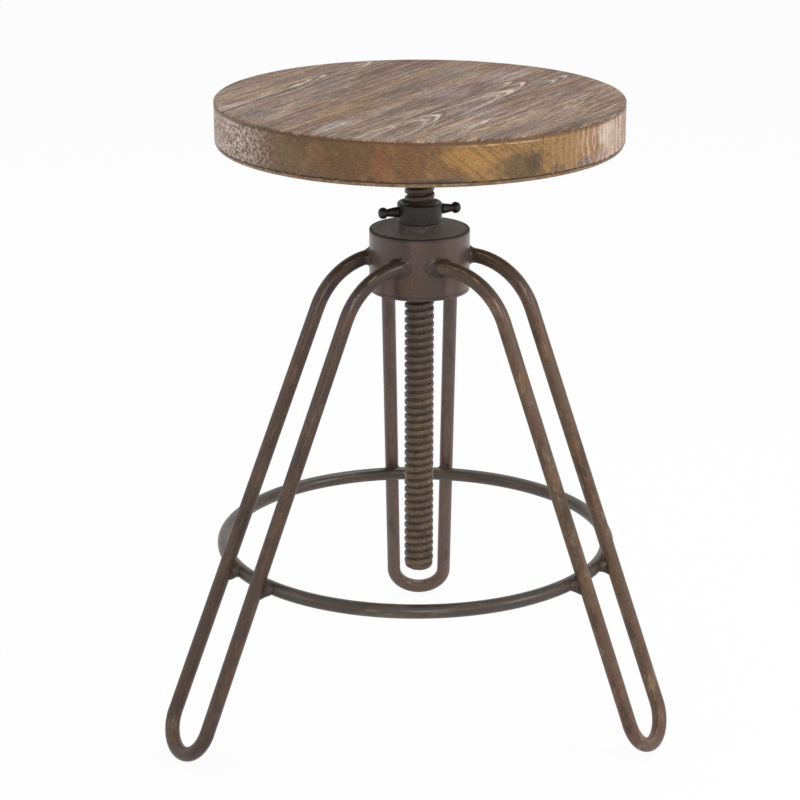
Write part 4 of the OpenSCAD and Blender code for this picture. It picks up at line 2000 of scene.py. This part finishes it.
@dataclass
class Undercarriage:
    """The hairpin legs and the footrest ring, with their weld beads.

    Attributes:
        legs: The three legs.
        rod: Radius of a leg's rod.
        flare: How far a weld spreads on the drum.
        climb: How far it runs out along the rod.
        ripple: Height of the ripples on it.
        beads: How many ripples go round a rod.
        swell: How unevenly it is laid, as a share of its size.
        lumps: Height of the lumps on it.
        bury: How far it reaches into the drum.
        grip: How far its edge lies inside the rod's skin.
        core: How far its inner skin lies inside the rod's.
        around: How many steps it has round the rod.
        steps: How many steps its fillet has.
        web: How far a weld at the front of the ring reaches from the crossing.
        web_rear: How far one at the rear does.
        bay: How much its four arms stand out.
        bay_rear: How much they stand out at the rear.
        web_thick: Half its thickness.
        drop: How much less it reaches above the crossing.
        hug: How far it wraps round ring and rod.
        rows: How many rows of corners it has.
        cols: How many corners one row has.
    """

    legs: tuple[Leg, ...] = (
        Leg("leg_rear", LegGrain.of("leg_rear", 90.0, 22.0, 24.7), 28.5, Patina.MAUVE),
        Leg("leg_left", LegGrain.of("leg_left", 214.0, 23.1, 28.1), 23.2, Patina.UMBER),
        Leg("leg_right", LegGrain.of("leg_right", 330.4, 20.6, 27.7), 25.7, Patina.OLIVE),
    )
    rod: float = LegGrain.rod
    flare: float = 3.4
    climb: float = 6.0
    ripple: float = 0.35
    beads: int = 11
    swell: float = 0.42
    lumps: float = 0.55
    bury: float = 0.6
    grip: float = 0.12
    core: float = 0.7
    around: int = 120
    steps: int = 12
    web: float = 10.4
    web_rear: float = 8.9
    bay: float = 1.5
    bay_rear: float = 0.3
    web_thick: float = 5.0
    drop: float = 2.4
    hug: float = 3.4
    rows: int = 22
    cols: int = 64

    def drum_bead(
        self, name: str, leg: Leg, side: int, drum: float
    ) -> bpy.types.Object:
        """Builds the flaring weld round one rod where it meets the drum.

        Args:
            name: The piece's name.
            leg: The leg.
            side: 1 or -1, which of the leg's rods.
            drum: The drum's radius.

        Returns:
            The weld.
        """
        around, steps = self.around, self.steps
        seed = side * 3.0 + leg.grain.turn
        # out of the drum along the fillet
        outline = [(0.0, -self.bury)]
        outline += [(math.pi / 2 * k / steps, 0.0) for k in range(steps + 1)]
        points: list[Vector] = []
        rings: list[list[int]] = []
        for i in range(around):
            a = 2 * math.pi * i / around
            near = Vector((math.cos(a), math.sin(a), 0.0))
            swell = 1.0 + self.swell * noise.noise(near * 1.3 + Vector((0, 0, seed)))
            wave = self.ripple * abs(math.sin(a * self.beads / 2 + side))
            ring = []
            for bend, sink in outline:
                out = self.climb * swell * (1.0 - math.cos(bend)) + sink
                reach = self.rod - self.grip
                reach += self.flare * swell * (1.0 - math.sin(bend))
                lump = noise.noise(near * 3.0 + Vector((0, 0, seed + out * 0.45)))
                reach += (self.lumps * lump + wave) * math.sin(2 * bend) * 0.9
                ring.append(self.weld_point(leg, side, drum, a, reach, out))
            # and back inside the rod
            for out in (self.climb * swell, -self.bury):
                inner = self.rod - self.core
                ring.append(self.weld_point(leg, side, drum, a, inner, out))
            first = len(points)
            points += ring
            rings.append(list(range(first, first + len(ring))))
        faces = []
        count = len(rings[0])
        for i in range(around):
            a, b = rings[i], rings[(i + 1) % around]
            for k in range(count):
                m = (k + 1) % count
                faces.append((a[k], a[m], b[m], b[k]))
        return make_mesh(name, points, faces, "frame")

    def weld_point(
        self, leg: Leg, side: int, drum: float, a: float, reach: float, out: float
    ) -> Vector:
        """One corner of a weld at the drum.

        Args:
            leg: The leg.
            side: Which of its rods.
            drum: The drum's radius, in millimetres.
            a: Angle round the rod, in radians.
            reach: Distance from the rod's middle.
            out: Distance from the drum's wall along the rod.

        Returns:
            The corner, in metres.
        """
        turn = math.radians(leg.grain.turn)
        v = side * leg.half_gap + reach * math.cos(a)
        u = math.sqrt(max(1.0, drum * drum - v * v)) + out
        ahead = max(0.0, u - leg.grain.bend_start)
        bend = leg.grain.bend
        sag = bend - math.sqrt(max(0.0, bend * bend - ahead * ahead))
        z = leg.grain.level + reach * math.sin(a) - sag
        x = u * math.cos(turn) - v * math.sin(turn)
        y = u * math.sin(turn) + v * math.cos(turn)
        return Vector((x, y, z)) * MM

    def islands(self, node: str) -> list[np.ndarray]:
        """Corners of each separate solid of a node.

        Args:
            node: The node's name.

        Returns:
            One array of corners for each solid, in metres.
        """
        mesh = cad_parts[node].data
        keys: dict[tuple[int, int, int], int] = {}
        index = []
        for v in mesh.vertices:
            key = (round(v.co.x * 1e5), round(v.co.y * 1e5), round(v.co.z * 1e5))
            index.append(keys.setdefault(key, len(keys)))
        parent = list(range(len(keys)))

        def find(i: int) -> int:
            """Finds the group that a corner belongs to.

            Args:
                i: The corner's number.

            Returns:
                The number of the group's first corner.
            """
            while parent[i] != i:
                parent[i] = parent[parent[i]]
                i = parent[i]
            return i

        for face in mesh.polygons:
            first = find(index[face.vertices[0]])
            for v in face.vertices[1:]:
                parent[find(index[v])] = first
        groups: dict[int, list[Vector]] = {}
        for v in mesh.vertices:
            groups.setdefault(find(index[v.index]), []).append(v.co)
        found = [np.array(g) for g in groups.values()]
        return sorted(found, key=lambda g: (round(g[:, 0].mean(), 4), g[:, 1].mean()))

    def ring_bead(self, name: str, spot: np.ndarray) -> bpy.types.Object:
        """Builds the lumpy weld that fills the corners of ring and rod.

        Args:
            name: The piece's name.
            spot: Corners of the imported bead, in metres.

        Returns:
            The weld.
        """
        middle = Vector((spot.min(0) + spot.max(0)) / 2)
        out = Vector((middle.x, middle.y, 0.0)).normalized()
        along = Vector((-out.y, out.x, 0.0))
        lean = math.radians(self.legs[0].grain.lean)
        up = Vector((0.0, 0.0, math.cos(lean))) - out * math.sin(lean)
        out = up.cross(along) if up.cross(along).dot(out) > 0 else along.cross(up)
        seed = middle.x * 90
        front = middle.y < 0
        inward = 1.0 if middle.x < 0 else -1.0
        web = self.web if front else self.web_rear
        bay = self.bay if front else self.bay_rear
        rows, cols = self.rows, self.cols

        def corner(row: int, turn: float) -> Vector:
            """Finds one corner.

            Args:
                row: Its row, counted from the inner pole.
                turn: Its angle in the row, in radians.

            Returns:
                The corner, in metres.
            """
            a = math.pi * row / rows
            flat = math.sin(a)
            n = Vector((math.cos(a), flat * math.cos(turn), flat * math.sin(turn)))
            corner_share = 0.7 * (inward * math.cos(turn) - math.sin(turn))
            star = web + bay * (math.cos(4 * turn) + 1.1 * max(0.0, corner_share))
            star -= self.drop * max(0.0, math.sin(turn))
            lump = 1.0 + 0.07 * jitter(n.x * 2 + seed, n.y * 2.6, n.z * 2.6)
            lump += 0.04 * jitter(n.x * 5 + seed, n.y * 6, n.z * 6)
            thick = self.web_thick * (1.0 + 0.2 * jitter(n.y * 3, n.z * 3, seed))
            flat_part = (along * n.y + up * n.z) * star * lump
            hug = -self.hug * math.cos(2 * turn) * flat * flat
            return middle + (flat_part + out * (n.x * thick + hug)) * MM

        points = [corner(0, 0.0), corner(rows, 0.0)]
        for row in range(1, rows):
            points += [corner(row, 2 * math.pi * j / cols) for j in range(cols)]
        faces: list[tuple[int, ...]] = []
        last = 2 + (rows - 2) * cols
        for j in range(cols):
            k = (j + 1) % cols
            faces.append((0, 2 + j, 2 + k))
            faces.append((1, last + k, last + j))
            for row in range(rows - 2):
                a, b = 2 + row * cols, 2 + (row + 1) * cols
                faces.append((a + j, b + j, b + k, a + k))
        return make_mesh(name, points, faces, "frame")

    def build(self) -> list[bpy.types.Object]:
        """Dresses legs and ring and adds the welds.

        Returns:
            The welds.
        """
        weld = IRONS[Patina.WELD].material("weld_iron")
        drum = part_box("hub_shell")[1].x / MM
        drum_beads = []
        for leg in self.legs:
            iron = IRONS[leg.patina]
            dress(leg.node, iron.material(f"{leg.node}_iron", leg.grain))
            for side in (-1, 1):
                name = f"drum_bead_{leg.node[4:]}_{'a' if side < 0 else 'b'}"
                drum_beads.append(self.drum_bead(name, leg, side, drum))
        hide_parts("hub_welds")
        ring = IRONS[Patina.RING].material("footrest_iron", RingGrain())
        dress("footrest_ring", ring)
        ring_beads = [
            self.ring_bead(f"ring_bead_{i + 1}", spot)
            for i, spot in enumerate(self.islands("ring_welds"))
        ]
        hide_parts("ring_welds")
        pieces = drum_beads + ring_beads
        for piece in pieces:
            piece.data.materials.append(weld)
        return pieces


# ---- the studio ----


@dataclass(frozen=True)
class Lamp:
    """One soft square lamp.

    Attributes:
        name: Its name.
        place: Where it stands, in metres.
        size: Its width, in metres.
        power: Its power, in watts.
    """

    name: str
    place: tuple[float, float, float]
    size: float
    power: float


@dataclass
class Studio:
    """Floor, backdrop, lights and camera.

    Attributes:
        distance: Distance of the camera from the screw's axis, in metres.
        height: Height of the camera.
        down: How far it looks down, in degrees.
        pan: How far it looks to the right, in degrees.
        lens: Focal length, in millimetres.
        sensor: Width of the camera's sensor.
        aim: Height that the lamps look at, in metres.
        sky: Strength of the even light from all round.
        floor_half: Half the floor's width, in metres.
        floor_drop: How far it lies below the feet.
        glow: Share of the floor that shines by itself.
        lamps: The lamps.
    """

    distance: float = 2.1437
    height: float = 0.9819
    down: float = 18.09
    pan: float = -0.45
    lens: float = 115.15
    sensor: float = 36.0
    aim: float = 0.4
    sky: float = 0.50
    floor_half: float = 6.0
    floor_drop: float = 0.0005
    glow: float = 0.94
    lamps: tuple[Lamp, ...] = (
        Lamp("lamp_right", (2.2, -1.1, 1.4), 0.8, 20.0),
        Lamp("lamp_left", (-2.2, -0.8, 1.2), 0.8, 5.0),
        Lamp("lamp_top", (0.2, 0.9, 2.4), 0.9, 15.0),
        Lamp("lamp_front", (0.3, -2.8, 1.5), 0.9, 20.0),
    )

    def camera(self) -> None:
        """Places the camera."""
        data = bpy.data.cameras.new("camera")
        data.lens = self.lens
        data.sensor_width = self.sensor
        camera = bpy.data.objects.new("camera", data)
        camera.location = (0.0, -self.distance, self.height)
        camera.rotation_euler = Euler(
            (math.radians(90.0 - self.down), 0.0, math.radians(-self.pan))
        )
        bpy.context.scene.collection.objects.link(camera)
        bpy.context.scene.camera = camera

    def light(self, lamp: Lamp) -> None:
        """Adds one lamp that looks at the stool.

        Args:
            lamp: The lamp.
        """
        data = bpy.data.lights.new(lamp.name, "AREA")
        data.size = lamp.size
        data.energy = lamp.power
        light = bpy.data.objects.new(lamp.name, data)
        light.location = lamp.place
        aim = Vector((0.0, 0.0, self.aim)) - Vector(lamp.place)
        light.rotation_euler = aim.to_track_quat("-Z", "Y").to_euler()
        bpy.context.scene.collection.objects.link(light)

    def shown(self, tree: bpy.types.NodeTree, path: bpy.types.Node) -> Socket:
        """Finds rays that see the background: direct, glossy or through glass.

        Args:
            tree: The node tree.
            path: Its Light Path node.

        Returns:
            1 for such rays, 0 for others.
        """
        total = path.outputs["Is Camera Ray"]
        for ray in ("Is Glossy Ray", "Is Transmission Ray"):
            node = tree.nodes.new("ShaderNodeMath")
            node.operation = "MAXIMUM"
            tree.links.new(total, node.inputs[0])
            tree.links.new(path.outputs[ray], node.inputs[1])
            total = node.outputs[0]
        return total

    def world(self) -> None:
        """Sets the even light, seen as plain white by the camera."""
        world = bpy.data.worlds.new("world")
        bpy.context.scene.world = world
        world.use_nodes = True
        tree = world.node_tree
        tree.nodes.clear()
        path = tree.nodes.new("ShaderNodeLightPath")
        strength = tree.nodes.new("ShaderNodeMapRange")
        tree.links.new(self.shown(tree, path), strength.inputs["Value"])
        strength.inputs["To Min"].default_value = self.sky
        strength.inputs["To Max"].default_value = 1.0
        back = tree.nodes.new("ShaderNodeBackground")
        back.inputs["Color"].default_value = (1.0, 1.0, 1.0, 1.0)
        tree.links.new(strength.outputs[0], back.inputs["Strength"])
        end = tree.nodes.new("ShaderNodeOutputWorld")
        tree.links.new(back.outputs[0], end.inputs[0])

    def floor(self) -> None:
        """Lays a pale floor that keeps a faint shadow."""
        half = self.floor_half
        mesh = bpy.data.meshes.new("floor")
        mesh.from_pydata(
            [(-half, -half, 0), (half, -half, 0), (half, half, 0), (-half, half, 0)],
            [],
            [(0, 1, 2, 3)],
        )
        floor = bpy.data.objects.new("floor", mesh)
        floor.location = (0.0, 0.0, cad_box[0][2] - self.floor_drop)
        bpy.context.scene.collection.objects.link(floor)
        material = bpy.data.materials.new("floor_paper")
        material.use_nodes = True
        tree = material.node_tree
        tree.nodes.clear()
        paper = tree.nodes.new("ShaderNodeBsdfDiffuse")
        paper.inputs["Color"].default_value = (1.0, 1.0, 1.0, 1.0)
        glow = tree.nodes.new("ShaderNodeEmission")
        glow.inputs["Strength"].default_value = 1.0
        path = tree.nodes.new("ShaderNodeLightPath")
        share = tree.nodes.new("ShaderNodeMath")
        share.operation = "MULTIPLY"
        share.inputs[1].default_value = self.glow
        tree.links.new(self.shown(tree, path), share.inputs[0])
        both = tree.nodes.new("ShaderNodeMixShader")
        tree.links.new(share.outputs[0], both.inputs[0])
        tree.links.new(paper.outputs[0], both.inputs[1])
        tree.links.new(glow.outputs[0], both.inputs[2])
        end = tree.nodes.new("ShaderNodeOutputMaterial")
        tree.links.new(both.outputs[0], end.inputs[0])
        mesh.materials.append(material)

    def build(self) -> list[bpy.types.Object]:
        """Builds the studio.

        Returns:
            No pieces of the stool.
        """
        scene = bpy.context.scene
        scene.view_settings.view_transform = "Standard"
        self.camera()
        self.world()
        self.floor()
        for lamp in self.lamps:
            self.light(lamp)
        return []


def main() -> None:
    """Builds the stool's looks, piece by piece."""
    logging.basicConfig(level=logging.INFO, format="%(name)s: %(message)s")
    for part in (Studio(), Seat(), Screw(), Collar(), Hub(), Undercarriage()):
        pieces = part.build()
        log.info("%s: %d new pieces", type(part).__name__, len(pieces))
        for piece in pieces:
            log.info("built %s", piece.name)


if __name__ == "__main__":
    main()
